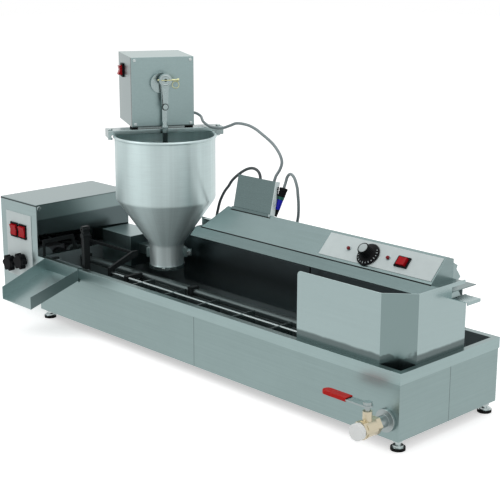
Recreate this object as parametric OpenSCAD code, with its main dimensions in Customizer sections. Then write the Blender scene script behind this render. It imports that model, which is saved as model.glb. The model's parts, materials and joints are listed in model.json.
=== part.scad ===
// Automatic ring doughnut fryer: a two-lane oil tank with a dough hopper, a heater head and a drive box.
// Millimetres, +Z up. The origin is the centre of the footprint at floor level.
// Modules place pieces from the front right lower corner of the casing, and at_frame() moves them home.

/* [Casing and tank] */
// Length of the tank rim
shell_l = 1022; // [1016:1:1030]
// Depth of the tank rim
shell_d = 275; // [273:1:279]
// Height of the rim over the underside of the casing
rim_z = 120; // [118:1:121]
// Sheet steel thickness
sheet_t = 1.5; // [1.2:0.1:1.6]
// Height of the rim's folded skirt
skirt_h = 20; // [14:1:24]
// Width of the rim at front and rear
rim_w = 13; // [12:0.5:14]
// Width of the rim at the ends
rim_end = 10.5; // [9:0.5:11]
// Height of the tank floor
floor_z = 16; // [14:1:18]
// Height of the levelling feet
foot_h = 20; // [16:1:26]
// Radius of the levelling feet
foot_r = 13; // [11:0.5:15]
// Front face of the lane divider
divider_y = 104; // [103:1:105]
// Width of the lane divider
divider_w = 46; // [40:1:46]
// Top of the lane divider
divider_z = 94; // [90:1:94]

/* [Flipper, ejector and pusher] */
// Radius of the flipper shaft
shaft_r = 6; // [5:0.5:6]
// Radius of the ejector shaft
ejector_r = 5; // [4:0.5:6]
// Running clearance of shafts
run_gap = 0.05; // [0.03:0.01:0.08]
// Free clearance between moving pieces
free_gap = 0.5; // [0.4:0.05:0.6]
// Radius of the gears on the two shafts
gear_r = 24; // [22:0.5:25]
// Radius of the pusher rod
rod_r = 3; // [2.5:0.25:3.25]
// Distance between paddles
paddle_pitch = 100; // [96:1:101]
// Half stroke of the pusher
half_stroke = 30; // [24:1:31]

/* [Drive box] */
// Length of the drive box along the machine
drive_l = 139; // [138:1:146]
// Depth of the drive box
drive_d = 254; // [252:1:258]
// Height of the drive box lid
drive_z = 234; // [230:1:240]
// Radius of the speed knobs
speed_knob_r = 18; // [16:0.5:19]
// Width of a switch bezel
bezel_w = 28; // [27:0.5:29]
// Height of a switch bezel
bezel_h = 33; // [32:0.5:34]

/* [Chute and guard] */
// Reach of the chute in front of the casing
chute_run = 113; // [108:1:120]
// Height of the chute side walls
chute_wall = 27; // [24:1:28]
// Length of the guard's front panel
guard_l = 190; // [184:1:192]
// Height of the guard's top edge
guard_z = 242; // [240:1:246]
// Reach of the guard's lifting tab
tab_l = 32.5; // [26:0.5:36]

/* [Heater head] */
// Length of the head along its lower edge
head_l = 588; // [570:1:592]
// Height of the head above its base plate
head_h = 43; // [41:0.5:43]
// Length of the dial plate on the sloped panel
dial_plate_l = 262; // [250:1:264]
// Radius of the thermostat skirt
dial_r = 23; // [20:0.5:24]
// Width of the connector shield
shield_w = 108; // [100:1:110]
// Height of the connector shield along its face
shield_h = 69.5; // [64:0.5:74]
// Radius of the heating tube
tube_r = 4; // [3.5:0.25:4.5]

/* [Hopper and mixer] */
// Outer radius of the hopper
hopper_r = 107; // [104:0.5:107]
// Outer radius of the hopper neck
neck_r = 37; // [36:0.25:37.5]
// Top of the hopper rim
hopper_z = 391; // [388:1:393]
// Width of the mixer box
mixer_w = 134.5; // [130:0.5:138]
// Depth of the mixer box
mixer_d = 148.5; // [144:0.5:152]
// Height of the mixer box
mixer_h = 147; // [144:0.5:152]
// Throw of the mixer crank
crank_throw = 10.3; // [9:0.1:10.6]
// Radius of the crank disc
crank_r = 21; // [19:0.5:22]
// Radius of the plunger rod
plunger_r = 5.5; // [5:0.25:5.75]
// Diameter of the cables
cable_d = 6; // [5:0.25:6]

/* [Drain valve] */
// Outer radius of the drain pipe
pipe_r = 10.5; // [10:0.25:11]
// Length of the valve lever from the stem
lever_l = 96; // [88:1:102]
// Radius of the outlet cap
cap_r = 14.5; // [13:0.5:15.5]

/* [Hidden] */
$fn = 64;
eps = 1;

// Places along the machine, from the casing's front right lower corner
tank_x0 = -shell_l + rim_end;
tank_x1 = -rim_end;
tank_y0 = rim_w;
tank_y1 = shell_d - rim_w;
drive_x0 = -shell_l - drive_l;
drive_x1 = -shell_l;
drive_bottom = 20;
cover_front_z = 167;
cover_rear_z = 156;
tab_w = 20;
tab_d = 9;
tab_h = 9;
tab_t = 0.8;
drain_x = -27;
drain_z = 33;

// Flipper, ejector and their gears
flip_y = divider_y + 8;
flip_z = divider_z + 7;
flip_x0 = -222;
flip_x1 = -78;
flip_tray_z = 70;
flip_tray_y = shell_d - 61;
flip_arm_t = 4;
eject_y = 26;
eject_z = 110;
eject_x0 = -shell_l + 37;
eject_x1 = eject_x0 + 95;
eject_tray_y = divider_y - 12;
eject_tray_z = 70;
hub_wall = 4;
gear_x0 = -shell_l - 24;
gear_t = 10;
gear_gap = 0.3;
axis_dy = flip_y - eject_y;
axis_dz = flip_z - eject_z;
axis_gap = sqrt(axis_dy * axis_dy + axis_dz * axis_dz);
idler_r = axis_gap / 2 - gear_r - gear_gap;
idler_y = (flip_y + eject_y) / 2;
idler_z = (flip_z + eject_z) / 2;
turn_motor_r = 20;

// Pusher
push_y = divider_y - 38;
push_z = rim_z - 15;
push_x0 = -shell_l + 174;
push_x1 = flip_x0 - 40;
paddle_in = 108;
paddle_n = floor((push_x1 - push_x0 - paddle_in - half_stroke) / paddle_pitch) + 1;
paddle_t = 2;
paddle_y0 = tank_y0 + 17;
paddle_y1 = divider_y - 6;
paddle_z0 = 64;
link_y = divider_y + 28;
link_z = rim_z + 16;
link_half = 3;
yoke_x = -shell_l - 70;
yoke_half_l = 26;
yoke_half_w = 42;
yoke_t = 4;
slot_half = 5;
slot_half_w = 36;
guide_t = 8;
guide_x = [push_x0 + 53, push_x1 - 26];
bearing_x = [tank_x0 + 11.5, (tank_x0 + flip_x0) / 2 - 23.25, flip_x0 - 34];
post_w = 9;
post_top = 208;
arch_x = -shell_l + 7;
arch_t = 3;
arch_top = 157;
disc_r = 38;
disc_t = 6;
disc_pin_r = 4;
pin_stop = 0.4;
disc_pin_top = link_z - max(yoke_t / 2, link_half) - pin_stop;
disc_top = link_z - yoke_t / 2 - 6;
gearbox_top = disc_top - disc_t - 6;

// Head section: lower front edge, upper front edge, upper rear edge, rear face
head_x1 = -60;
head_x0 = head_x1 - head_l;
back_y = shell_d - 19;
base_rear_y = back_y - 44;
head_rear_y = base_rear_y - 1.5;
ridge_y = head_rear_y - 20;
crease_y = ridge_y - 43;
crease_z = 227;
ridge_z = crease_z + head_h;
head_rear_z = ridge_z - 7;
head_lean = 0.8;
panel_a = atan2(ridge_z - crease_z, ridge_y - crease_y);
panel_len = sqrt(pow(ridge_z - crease_z, 2) + pow(ridge_y - crease_y, 2));
base_x0 = head_x0 - 15;
fascia_drop = 16.5;
plate_t = 1;
back_x1 = head_x1 - 12;
back_z0 = 60;
back_z1 = 212;
dial_plate_x1 = head_x1 - 3;
dial_x = head_x1 - 156;
dial_s = 28;
lamp_x = [dial_x - 49, dial_x + 44];
lamp_s = 31;
lamp_r = 5;
heater_switch_x = head_x1 - 78;
heater_switch_s = 29.5;
heater_bezel_w = 28;
heater_bezel_h = 22;
bulb_x = head_x1 - 370;
bulb_l = 90;
pipe_y = back_y - 14;
pipe_z = crease_z + 13;
pipe_half = 1.5;
element_y = [base_rear_y - 44, base_rear_y - 10];
element_x1 = head_x1 - 9;
element_x0 = element_x1 - 479;
element_z = floor_z + 18;
element_bend = 12;
leg_gap = 0.3;

// Connector shield on the head
shield_x0 = head_x0 + 49;
shield_lean = 12.5;
shield_flange = 11;
shield_foot = 5;
socket_top = 53;
socket_r = 5;
socket_x = [shield_x0 + 58, shield_x0 + 96];
plug_l = 60;
plug_tip_r = 3.6;
plug_top_r = 8.4;

// Hopper and mixer
hopper_x = -shell_l + 213;
hopper_y = shell_d - 85;
junction_z = 258;
neck_z = 158;
neck_low = 108;
nozzle_low = 104;
bead_r = 3;
view_turn = 46;
mixer_turn = 62;
mixer_front = 16;
bar_z0 = hopper_z + bead_r;
bar_t = 10;
bar_x0 = -119;
bar_x1 = 132;
hook_h = 7;
bar_bolt_x = [bar_x0 + 6, bar_x1 - 9.5];
mixer_screw_x = mixer_w / 2 - 7.25;
mixer_gland_y = mixer_front + 79;
mixer_switch_out = 4;
mixer_rocker_rise = 8;
bar_y0 = 14;
bar_y1 = 54;
pad_h = 4.5;
mixer_z0 = bar_z0 + bar_t + pad_h;
mixer_z1 = mixer_z0 + mixer_h;
pin_angle = 51;
shaft_w = -crank_throw * cos(pin_angle);
shaft_z = 502;
pin_z = shaft_z + crank_throw * sin(pin_angle);
pivot_z = pin_z - 57;
crank_pin_r = 5;
crank_shaft_r = 6;
disc_y0 = 7;
disc_y1 = 15;
conrod_y0 = -6.3;
conrod_y1 = -0.3;
conrod_w = 18;
conrod_low_w = 13.5;
boss_r = 13.5;
boss_t = 8;
clip_r = 1;
clip_arm_r = 1.3;
clip_eye_r = 0.8;
clip_gap = 1.4;
clip_ring_r = 7.3;
clip_drop = 3;
clip_x = boss_r + 15.5;
piston_r = 20;
piston_z = 112;
half_top = pivot_z + 8;
half_low = pivot_z - 32;
support_x0 = -shell_l + 37;
support_x1 = support_x0 + 101;
support_y0 = hopper_y - 40;
support_y1 = hopper_y + 36;
back_x0 = hopper_x - 21;
notch_x = hopper_x + 41;
notch_z = 185;
support_z0 = 96;
support_z1 = 164;

// Chute
chute_x0 = -shell_l + 29;
chute_x1 = chute_x0 + 119;
chute_top = 95;
chute_low = 52;
chute_taper = 6.5;

// Guard
guard_x0 = -56 - guard_l;
guard_x1 = tank_x1;
guard_bottom = 104;
guard_chamfer = 41;
guard_y1 = shell_d - 91;
guard_corner = 8;
window_y0 = guard_y1 - 42;
window_z0 = 216;
window_z1 = 235;
finger_y1 = guard_y1 - 5;

// Drain valve
valve_y0 = -66;
valve_y1 = -26;
stem_y = -48;
valve_r = 14;
ball_r = 11;
ball_bore = 7;
stem_r = 4.5;
lever_z = 71;
lever_w = 18;
lever_t = 2.5;
sleeve_t = 7;
sleeve_w = 19;
sleeve_l = 70;

// Controls on the drive box, as [along, up]
knob_at = [[-shell_l - 97, 88.5], [-shell_l - 53, 100.5]];
knob_lobes = 6;
knob_hub_y = -6;
knob_face_y = -19;
switch_at = [[-shell_l - 85, 166], [-shell_l - 52.5, 166]];
control_x0 = -shell_l - 118;
control_x1 = -shell_l - 21;
control_z0 = 60;
control_z1 = 206;
rocker_gap = 0.6;
rocker_swing = 9;
rocker_rise = 5;
bezel_rim = 2.6;
bezel_seat = 1.2;
bezel_out = 3;
switch_deep = 20;
rocker_deep = 8;
rocker_pin = 2;

// Feet, as [along, deep]
foot_in = 14;
foot_front = 17;
foot_rear = 16;
foot_at = [for (x = [-foot_in, -shell_l + foot_in], y = [foot_front, shell_d - foot_rear]) [x, y]];

// Cable routes in round numbers, machine places
mixer_route = [[-858, 300.2, 425], [-854.5, 306.8, 425], [-849, 312, 423.5], [-841, 314.5, 420.5],
    [-830.5, 312, 417], [-817.5, 303, 414], [-802.5, 292.5, 412], [-785, 283, 410.5], [-765, 273, 409.5],
    [-745, 264, 409.5], [-724.5, 256.5, 411], [-700, 254, 413], [-671, 250, 422], [-646, 246, 430],
    [-612, 242, 431], [-585, 238, 427], [-560, 234, 419], [-529, 228, 408], [-510, 224, 398],
    [-494, 220, 385], [-488, 218, 372], [-492, 216, 358], [-500, 214, 345], [-503, 212, 333],
    [-503, 209, 318.5]];
head_route = [[-541, 209, 318.5], [-541, 211.5, 330], [-544.5, 213, 342], [-553, 213.5, 349.5], [-567, 214, 351.5],
    [-587, 217, 346], [-609, 221, 335], [-631, 225, 321], [-643, 227, 311], [-654, 230, 300],
    [-666, 233, 290], [-677, 236, 279], [-694, 242, 259], [-707, 248, 238], [-714, 251, 224], [-714, 251, 214]];
plug_route = [[-487, 223.5, 321.6], [-485.7, 226.7, 332.2], [-482, 227, 343], [-474, 225, 350.5],
    [-464, 221.5, 352], [-454, 218.5, 347], [-448, 217.5, 337.5], [-445.5, 218.5, 327], [-446, 220.5, 316],
    [-449, 225, 304.5], [-451.5, 228.5, 294.5], [-454.5, 232, 284], [-458.5, 236, 274.5], [-463, 240, 265],
    [-468, 243.5, 255.5], [-473, 247, 246], [-477.5, 250, 236], [-480, 251, 225], [-480, 251, 214]];

// Size of the whole machine and its frame
mixer_back = mixer_front + mixer_d;
whole_x0 = drive_x0;
whole_x1 = tank_x1 + tab_l;
whole_y0 = -chute_run;
mixer_reach = mixer_back * cos(mixer_turn) + mixer_w / 2 * sin(mixer_turn);
bar_reach = bar_y1 * cos(mixer_turn) + bar_x1 * sin(mixer_turn);
whole_y1 = hopper_y + max(mixer_reach, bar_reach);
frame_x = -(whole_x0 + whole_x1) / 2;
frame_y = -(whole_y0 + whole_y1) / 2;
frame_z = foot_h;

steel = [0.66, 0.70, 0.70];
dark_steel = [0.45, 0.48, 0.49];
black = [0.08, 0.08, 0.09];
red = [0.70, 0.05, 0.06];
brass = [0.72, 0.58, 0.30];
white = [0.90, 0.91, 0.90];
grey = [0.50, 0.53, 0.54];

// Moves a piece from machine places to the shared frame
module at_frame() {
    translate([frame_x, frame_y, frame_z]) children();
}

// Box between two corners
module box(x0, x1, y0, y1, z0, z1) {
    translate([x0, y0, z0]) cube([x1 - x0, y1 - y0, z1 - z0]);
}

// Round bars along the three axes
module bar_x(x0, x1, y, z, r) {
    translate([x0, y, z]) rotate([0, 90, 0]) cylinder(h = x1 - x0, r = r);
}

module bar_y(y0, y1, x, z, r) {
    translate([x, y1, z]) rotate([90, 0, 0]) cylinder(h = y1 - y0, r = r);
}

module bar_z(z0, z1, x, y, r) {
    translate([x, y, z0]) cylinder(h = z1 - z0, r = r);
}

// Plate with a profile in the depth and height plane
module slab_x(x0, x1, pts) {
    translate([x0, 0, 0]) rotate([90, 0, 90]) linear_extrude(height = x1 - x0) polygon(pts);
}

// Plate with a profile in the length and height plane
module slab_y(y0, y1, pts) {
    translate([0, y1, 0]) rotate([90, 0, 0]) linear_extrude(height = y1 - y0) polygon(pts);
}

// Local frames
module mixer_frame() {
    translate([hopper_x, hopper_y, 0]) rotate([0, 0, mixer_turn]) children();
}

module panel_frame() {
    translate([0, crease_y, crease_z]) rotate([panel_a - 90, 0, 0]) children();
}

module at_heater_switch() {
    panel_frame() translate([heater_switch_x, 0, heater_switch_s]) rotate([0, 90, 0]) children();
}

module at_mixer_switch() {
    mixer_frame() translate([-mixer_w / 2, mixer_front + 95, mixer_z0 + 112]) rotate([0, 0, -90]) children();
}

module at_drive_switch(i) {
    translate([switch_at[i][0], -plate_t, switch_at[i][1]]) children();
}

// Cable swept along a route
function unit(v) = v / norm(v);
function ring_dir(p, i) = unit(p[min(i + 1, len(p) - 1)] - p[max(i - 1, 0)]);
function ring_side(d) = unit(cross(d, abs(d[2]) > 0.9 ? [1, 0, 0] : [0, 0, 1]));
sides = 8;
function ring(p, i, s, r) = let (d = ring_dir(p, i), u = s, v = cross(d, u))
    [for (k = [0 : sides - 1]) p[i] + r * (cos(k * 360 / sides) * u + sin(k * 360 / sides) * v)];
function carry(s, d) = unit(s - d * (s * d));
function side_list(p, i = 0, s = undef, acc = []) = i == len(p) ? acc :
    let (d = ring_dir(p, i), t = i == 0 ? ring_side(d) : carry(s, d)) side_list(p, i + 1, t, concat(acc, [t]));

module sweep(p, r) {
    n = len(p);
    sd = side_list(p);
    pts = [for (i = [0 : n - 1]) each ring(p, i, sd[i], r)];
    walls = [for (i = [0 : n - 2], k = [0 : sides - 1]) let (m = (k + 1) % sides)
        [i * sides + k, (i + 1) * sides + k, (i + 1) * sides + m, i * sides + m]];
    first = [for (k = [0 : sides - 1]) k];
    last = [for (k = [sides - 1 : -1 : 0]) (n - 1) * sides + k];
    polyhedron(points = pts, faces = concat(walls, [first, last]));
}

// Casing
module outer_shell() {
    a = sheet_t;
    b = 2 * sheet_t;
    color(steel) at_frame() difference() {
        box(-shell_l + a, -a, a, shell_d - a, 0, rim_z - a);
        box(-shell_l + b, -b, b, shell_d - b, -eps, rim_z);
        bar_y(-eps, b + eps, drain_x, drain_z, pipe_r + free_gap);
        bar_x(-shell_l - eps, -shell_l + b + eps, flip_y, flip_z, shaft_r + free_gap);
        bar_x(-shell_l - eps, -shell_l + b + eps, eject_y, eject_z, ejector_r + free_gap);
    }
}

module base_plate() {
    b = 2 * sheet_t;
    color(dark_steel) at_frame() difference() {
        box(-shell_l + b, -b, b, shell_d - b, 0, sheet_t);
        for (f = foot_at) bar_z(-eps, sheet_t + eps, f[0], f[1], foot_r / 2.6);
    }
}

// Folded tab over the front right corner of the rim
module rim_tab() {
    box(-tab_w, 0, -tab_t, 0, rim_z - tab_h, rim_z + tab_t);
    box(0, tab_t, -tab_t, tab_d, rim_z - tab_h, rim_z + tab_t);
    box(-tab_w, 0, 0, tab_d, rim_z, rim_z + tab_t);
}

module oil_tank() {
    t = sheet_t;
    color(steel) at_frame() difference() {
        union() {
            box(-shell_l, 0, 0, shell_d, rim_z - skirt_h, rim_z);
            box(tank_x0 - t, tank_x1 + t, tank_y0 - t, tank_y1 + t, floor_z - t, rim_z);
            rim_tab();
        }
        box(tank_x0, tank_x1, tank_y0, tank_y1, floor_z, rim_z + eps);
        difference() {
            box(-shell_l + t, -t, t, shell_d - t, rim_z - skirt_h - eps, rim_z - t);
            box(tank_x0 - t, tank_x1 + t, tank_y0 - t, tank_y1 + t, 0, rim_z);
        }
        bar_y(-eps, tank_y0 + eps, drain_x, drain_z, pipe_r - 2);
        bar_x(-shell_l - eps, tank_x0 + eps, flip_y, flip_z, shaft_r + free_gap);
        bar_x(-shell_l - eps, tank_x0 + eps, eject_y, eject_z, ejector_r + free_gap);
    }
}

module lane_divider() {
    t = sheet_t;
    color(steel) at_frame() difference() {
        box(tank_x0 + 8, flip_x0 - 18, divider_y, divider_y + divider_w, floor_z, divider_z);
        box(tank_x0, flip_x0, divider_y + t, divider_y + divider_w - t, floor_z - eps, divider_z - t);
    }
}

module levelling_feet() {
    color(dark_steel) at_frame() for (f = foot_at) {
        bar_z(-foot_h, -foot_h + 6, f[0], f[1], foot_r);
        bar_z(-foot_h + 6, -foot_h + 9, f[0], f[1], foot_r * 0.72);
        bar_z(-foot_h + 9, 10, f[0], f[1], foot_r / 2.6);
        translate([f[0], f[1], -6]) cylinder(h = 6, r = foot_r * 0.7, $fn = 6);
    }
}

module bearing(x, len) {
    half = shaft_r + hub_wall;
    difference() {
        box(x, x + len, flip_y - half, flip_y + half, divider_z, flip_z + half);
        bar_x(x - eps, x + len + eps, flip_y, flip_z, shaft_r + run_gap);
    }
}

module shaft_bearings() {
    half = shaft_r + hub_wall;
    color(dark_steel) at_frame() {
        for (x = bearing_x) bearing(x, 12);
        difference() {
            union() {
                box(tank_x1 - 15, tank_x1 - sheet_t, flip_y - half, flip_y + half, flip_z - 16, flip_z + half);
                box(tank_x1 - 15, tank_x1, flip_y - half, flip_y + half, flip_z - 16, guard_bottom);
            }
            bar_x(tank_x1 - 16, tank_x1 - 3, flip_y, flip_z, shaft_r + run_gap);
        }
        for (x = guide_x) difference() {
            union() {
                box(x, x + guide_t, push_y - 6, divider_y, push_z - 5, push_z + 5);
                box(x, x + guide_t, divider_y - 2, divider_y, divider_z - 20, push_z + 5);
            }
            bar_x(x - eps, x + guide_t + eps, push_y, push_z, rod_r + run_gap);
        }
        for (x = [eject_x0 - 14, eject_x1 + 5]) difference() {
            box(x, x + 9, tank_y0, eject_y + 8, eject_z - 16, eject_z + 8);
            bar_x(x - eps, x + 10, eject_y, eject_z, ejector_r + run_gap);
        }
        post_x = eject_x1 + 5;
        difference() {
            union() {
                box(post_x, post_x + post_w, eject_y - 7, eject_y + 8, eject_z + 8, post_top);
                for (z = [post_top - 6, post_top - 20])
                    bar_y(eject_y - 9, eject_y + 10, post_x + post_w / 2, z, post_w / 2 + 1);
            }
            bar_y(eject_y - 10, eject_y + 11, post_x + post_w / 2, post_top - 6, 2);
        }
        slab_x(arch_x, arch_x + arch_t, [[8, rim_z], [8, arch_top], [90, arch_top], [100, rim_z],
            [92, rim_z], [83, arch_top - 9], [14, arch_top - 9], [14, rim_z]]);
        difference() {
            box(-shell_l + 1, tank_x0 - 1, link_y - 9, link_y + 9, rim_z, link_z + 8);
            box(-shell_l, tank_x0, link_y - link_half - free_gap, link_y + link_half + free_gap,
                link_z - link_half - free_gap, link_z + link_half + free_gap);
        }
    }
}

// Turning pieces over the lanes
module flipper() {
    t = flip_arm_t;
    tray_y0 = divider_y + divider_w + 6;
    arm = [[flip_y - 9, flip_z - 9], [flip_y + 9, flip_z - 9], [tray_y0 - 2, flip_tray_z],
        [flip_tray_y, flip_tray_z], [flip_tray_y, flip_tray_z + 8], [tray_y0 + 4, flip_tray_z + 10],
        [flip_y + 9, flip_z + 9], [flip_y - 9, flip_z + 9]];
    color(steel) at_frame() {
        bar_x(gear_x0, tank_x1 - 4, flip_y, flip_z, shaft_r);
        bar_x(gear_x0, gear_x0 + gear_t, flip_y, flip_z, gear_r);
        difference() {
            union() {
                for (x = [flip_x0, flip_x1 - t]) slab_x(x, x + t, arm);
                difference() {
                    box(flip_x0, flip_x1, tray_y0, flip_tray_y, flip_tray_z, flip_tray_z + 2);
                    for (x = [flip_x0 + 14 : 25 : flip_x0 + 114]) box(x, x + 14, tray_y0 + 10, flip_tray_y - 10,
                        flip_tray_z - eps, flip_tray_z + 3);
                }
            }
            bar_x(flip_x0 - eps, flip_x1 + eps, flip_y, flip_z, shaft_r / 2);
        }
    }
}

module ejector() {
    arm = [[eject_y - 8, eject_z - 8], [36, eject_tray_z], [eject_tray_y, eject_tray_z],
        [eject_tray_y, eject_tray_z + 7], [eject_y + 16, eject_tray_z + 9], [eject_y + 8, eject_z + 6],
        [eject_y - 8, eject_z + 6]];
    color(steel) at_frame() {
        bar_x(gear_x0, eject_x1 + 16, eject_y, eject_z, ejector_r);
        bar_x(gear_x0, gear_x0 + gear_t, eject_y, eject_z, gear_r);
        for (x = [eject_x0, eject_x1 - 3]) slab_x(x, x + 3, arm);
        difference() {
            box(eject_x0, eject_x1, 38, eject_tray_y, eject_tray_z, eject_tray_z + 2);
            for (i = [0 : 2]) box(eject_x0 + 14 + i * 25, eject_x0 + 28 + i * 25, 48, eject_tray_y - 10,
                eject_tray_z - eps, eject_tray_z + 3);
        }
    }
}

module idler_gear() {
    color(brass) at_frame() {
        bar_x(gear_x0, gear_x0 + gear_t, idler_y, idler_z, idler_r);
        bar_x(gear_x0 - 20, gear_x0, idler_y, idler_z, 5);
    }
}

module turn_motor() {
    color(dark_steel) at_frame() difference() {
        union() {
            bar_x(gear_x0 - 92, gear_x0 - 4, idler_y, idler_z, turn_motor_r);
            box(gear_x0 - 34, gear_x0 - 4, idler_y - 22, idler_y + 22, idler_z - 22, idler_z + 22);
            box(gear_x0 - 34, gear_x0 - 14, idler_y - 12, idler_y + 12, drive_bottom + sheet_t, idler_z - 22);
        }
        bar_x(gear_x0 - 21, gear_x0, idler_y, idler_z, 5 + run_gap);
    }
}

module pusher_rod() {
    color(steel) at_frame() {
        bar_x(push_x0, push_x1, push_y, push_z, rod_r);
        for (i = [0 : paddle_n - 1]) {
            x = push_x0 + paddle_in + i * paddle_pitch;
            box(x, x + paddle_t, paddle_y0, paddle_y1, paddle_z0, push_z + rod_r);
        }
    }
}

module pusher_link() {
    arm = [[push_y - 6, push_z - 6], [push_y + 6, push_z - 6], [push_y + 8, push_z + 7],
        [link_y + 6, link_z - 6], [link_y + 6, link_z + 6], [link_y - 8, link_z + 6],
        [push_y - 6, push_z + 12]];
    color(steel) at_frame() {
        difference() {
            slab_x(push_x0 - 2, push_x0 + 4, arm);
            bar_x(push_x0, push_x0 + 4 + eps, push_y, push_z, rod_r);
        }
        box(yoke_x + yoke_half_l, push_x0 - 2, link_y - link_half, link_y + link_half,
            link_z - link_half, link_z + link_half);
        difference() {
            box(yoke_x - yoke_half_l, yoke_x + yoke_half_l, link_y - yoke_half_w, link_y + yoke_half_w,
                link_z - yoke_t / 2, link_z + yoke_t / 2);
            box(yoke_x - slot_half, yoke_x + slot_half, link_y - slot_half_w, link_y + slot_half_w,
                link_z - yoke_t, link_z + yoke_t);
        }
    }
}

module drive_disc() {
    color(brass) at_frame() {
        bar_z(disc_top - disc_t, disc_top, yoke_x, link_y, disc_r);
        bar_z(gearbox_top - 20, disc_top - disc_t, yoke_x, link_y, 6);
        bar_z(disc_top, disc_pin_top, yoke_x, link_y + half_stroke, disc_pin_r);
    }
}

module drive_motor() {
    color(dark_steel) at_frame() {
        difference() {
            box(yoke_x - 36, yoke_x + 36, link_y - 32, link_y + 33, drive_bottom + sheet_t, gearbox_top);
            bar_z(gearbox_top - 21, gearbox_top + eps, yoke_x, link_y, 6 + run_gap);
        }
        bar_y(link_y + 33, drive_d - 10, yoke_x, 76, 30);
    }
}

// Drive box
module drive_box_body() {
    t = sheet_t;
    color(steel) at_frame() difference() {
        box(drive_x0, drive_x1, 0, drive_d, drive_bottom, drive_z - t);
        box(drive_x0 + t, drive_x1 + eps, t, drive_d - t, drive_bottom + t, drive_z);
        for (k = knob_at) bar_y(-eps, t + eps, k[0], k[1], 4);
        for (i = [0, 1]) at_drive_switch(i) switch_cut(bezel_w, bezel_h, t);
    }
}

module drive_box_lid() {
    t = sheet_t;
    color(steel) at_frame() {
        box(drive_x0, drive_x1, 0, drive_d, drive_z - t, drive_z);
        slab_x(drive_x1 - t, drive_x1, [[t, cover_front_z], [drive_d - t, cover_rear_z],
            [drive_d - t, drive_z - t], [t, drive_z - t]]);
        slab_x(drive_x1 - 12, drive_x1 - t, [[t, cover_front_z], [t, cover_front_z + t],
            [drive_d - t, cover_rear_z + t], [drive_d - t, cover_rear_z]]);
    }
}

module control_plate() {
    color(white) at_frame() difference() {
        box(control_x0, control_x1, -plate_t, 0, control_z0, control_z1);
        for (k = knob_at) bar_y(-plate_t - eps, eps, k[0], k[1], 4);
        for (i = [0, 1]) at_drive_switch(i) switch_cut(bezel_w, bezel_h, 0);
    }
}

// One rocker switch: the bezel lies on the face at y = 0, and the body reaches behind it
module switch_body(w, h, out = bezel_out) {
    iw = w / 2 - bezel_rim;
    ih = h / 2 - bezel_rim;
    inset = bezel_seat + free_gap;
    difference() {
        union() {
            box(-w / 2, w / 2, -out, 0, -h / 2, h / 2);
            box(-w / 2 + inset, w / 2 - inset, 0, switch_deep, -h / 2 + inset, h / 2 - inset);
        }
        box(-iw, iw, -out - eps, rocker_deep + 4, -ih, ih);
    }
}

// Hole for a switch body through a plate that ends at the given depth
module switch_cut(w, h, deep) {
    iw = w / 2 - bezel_seat;
    ih = h / 2 - bezel_seat;
    box(-iw, iw, -eps, plate_t + deep + eps, -ih, ih);
}

module rocker(w, h, out = bezel_out, rise = rocker_rise) {
    iw = w / 2 - bezel_rim - rocker_gap;
    ih = h / 2 - bezel_rim - rocker_gap - 1;
    tip = ih * 0.92;
    low = rise - tip * sin(rocker_swing);
    slab_x(-iw, iw, [[rocker_deep, -ih * 0.5], [rocker_deep, ih * 0.5], [-1, ih], [-out - rise, tip],
        [-out - low * 0.7, 0], [-out - low, -tip], [-1, -ih]]);
    bar_x(-iw - rocker_gap / 2, iw + rocker_gap / 2, 0, 0, rocker_pin);
}

module switch_bodies() {
    color(black) at_frame() {
        for (i = [0, 1]) at_drive_switch(i) switch_body(bezel_w, bezel_h);
        at_heater_switch() translate([0, -plate_t, 0]) switch_body(heater_bezel_h, heater_bezel_w);
        at_mixer_switch() switch_body(bezel_w - 4, bezel_h - 4, mixer_switch_out);
    }
}

module conveyor_rocker() {
    color(red) at_frame() at_drive_switch(0) rocker(bezel_w, bezel_h);
}

module turnover_rocker() {
    color(red) at_frame() at_drive_switch(1) rocker(bezel_w, bezel_h);
}

module heater_rocker() {
    color(red) at_frame() at_heater_switch() translate([0, -plate_t, 0]) rocker(heater_bezel_h, heater_bezel_w);
}

module mixer_rocker() {
    color(red) at_frame() at_mixer_switch() rotate([0, 180, 0])
        rocker(bezel_w - 4, bezel_h - 4, mixer_switch_out, mixer_rocker_rise);
}

module speed_controls() {
    color(dark_steel) at_frame() for (k = knob_at) {
        bar_y(sheet_t, 22, k[0], k[1], 11);
        bar_y(-14, sheet_t, k[0], k[1], 3);
    }
}

module speed_knob(k) {
    lobe_at = speed_knob_r * 0.74;
    difference() {
        union() {
            bar_y(knob_hub_y, -plate_t - free_gap, k[0], k[1], speed_knob_r * 0.6);
            bar_y(knob_face_y, knob_hub_y, k[0], k[1], speed_knob_r * 0.78);
            for (a = [0 : 360 / knob_lobes : 359]) bar_y(knob_face_y + 1, knob_hub_y,
                k[0] + lobe_at * cos(a), k[1] + lobe_at * sin(a), speed_knob_r * 0.3);
        }
        bar_y(-14.5, eps, k[0], k[1], 3 + run_gap);
    }
}

module conveyor_speed_knob() {
    color(black) at_frame() speed_knob(knob_at[0]);
}

module turnover_speed_knob() {
    color(black) at_frame() speed_knob(knob_at[1]);
}

module control_board() {
    t = sheet_t;
    color([0.15, 0.35, 0.2]) at_frame() {
        box(drive_x0 + t + 8, drive_x0 + t + 10, 60, 200, drive_z - 82, drive_z - 12);
        for (y = [70, 190], z = [drive_z - 74, drive_z - 20]) bar_x(drive_x0 + t, drive_x0 + t + 8, y, z, 3);
        box(drive_x0 + t + 10, drive_x0 + t + 34, 90, 120, drive_z - 69, drive_z - 39);
        bar_x(drive_x0 + t + 10, drive_x0 + t + 38, 160, drive_z - 49, 11);
    }
}

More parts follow.
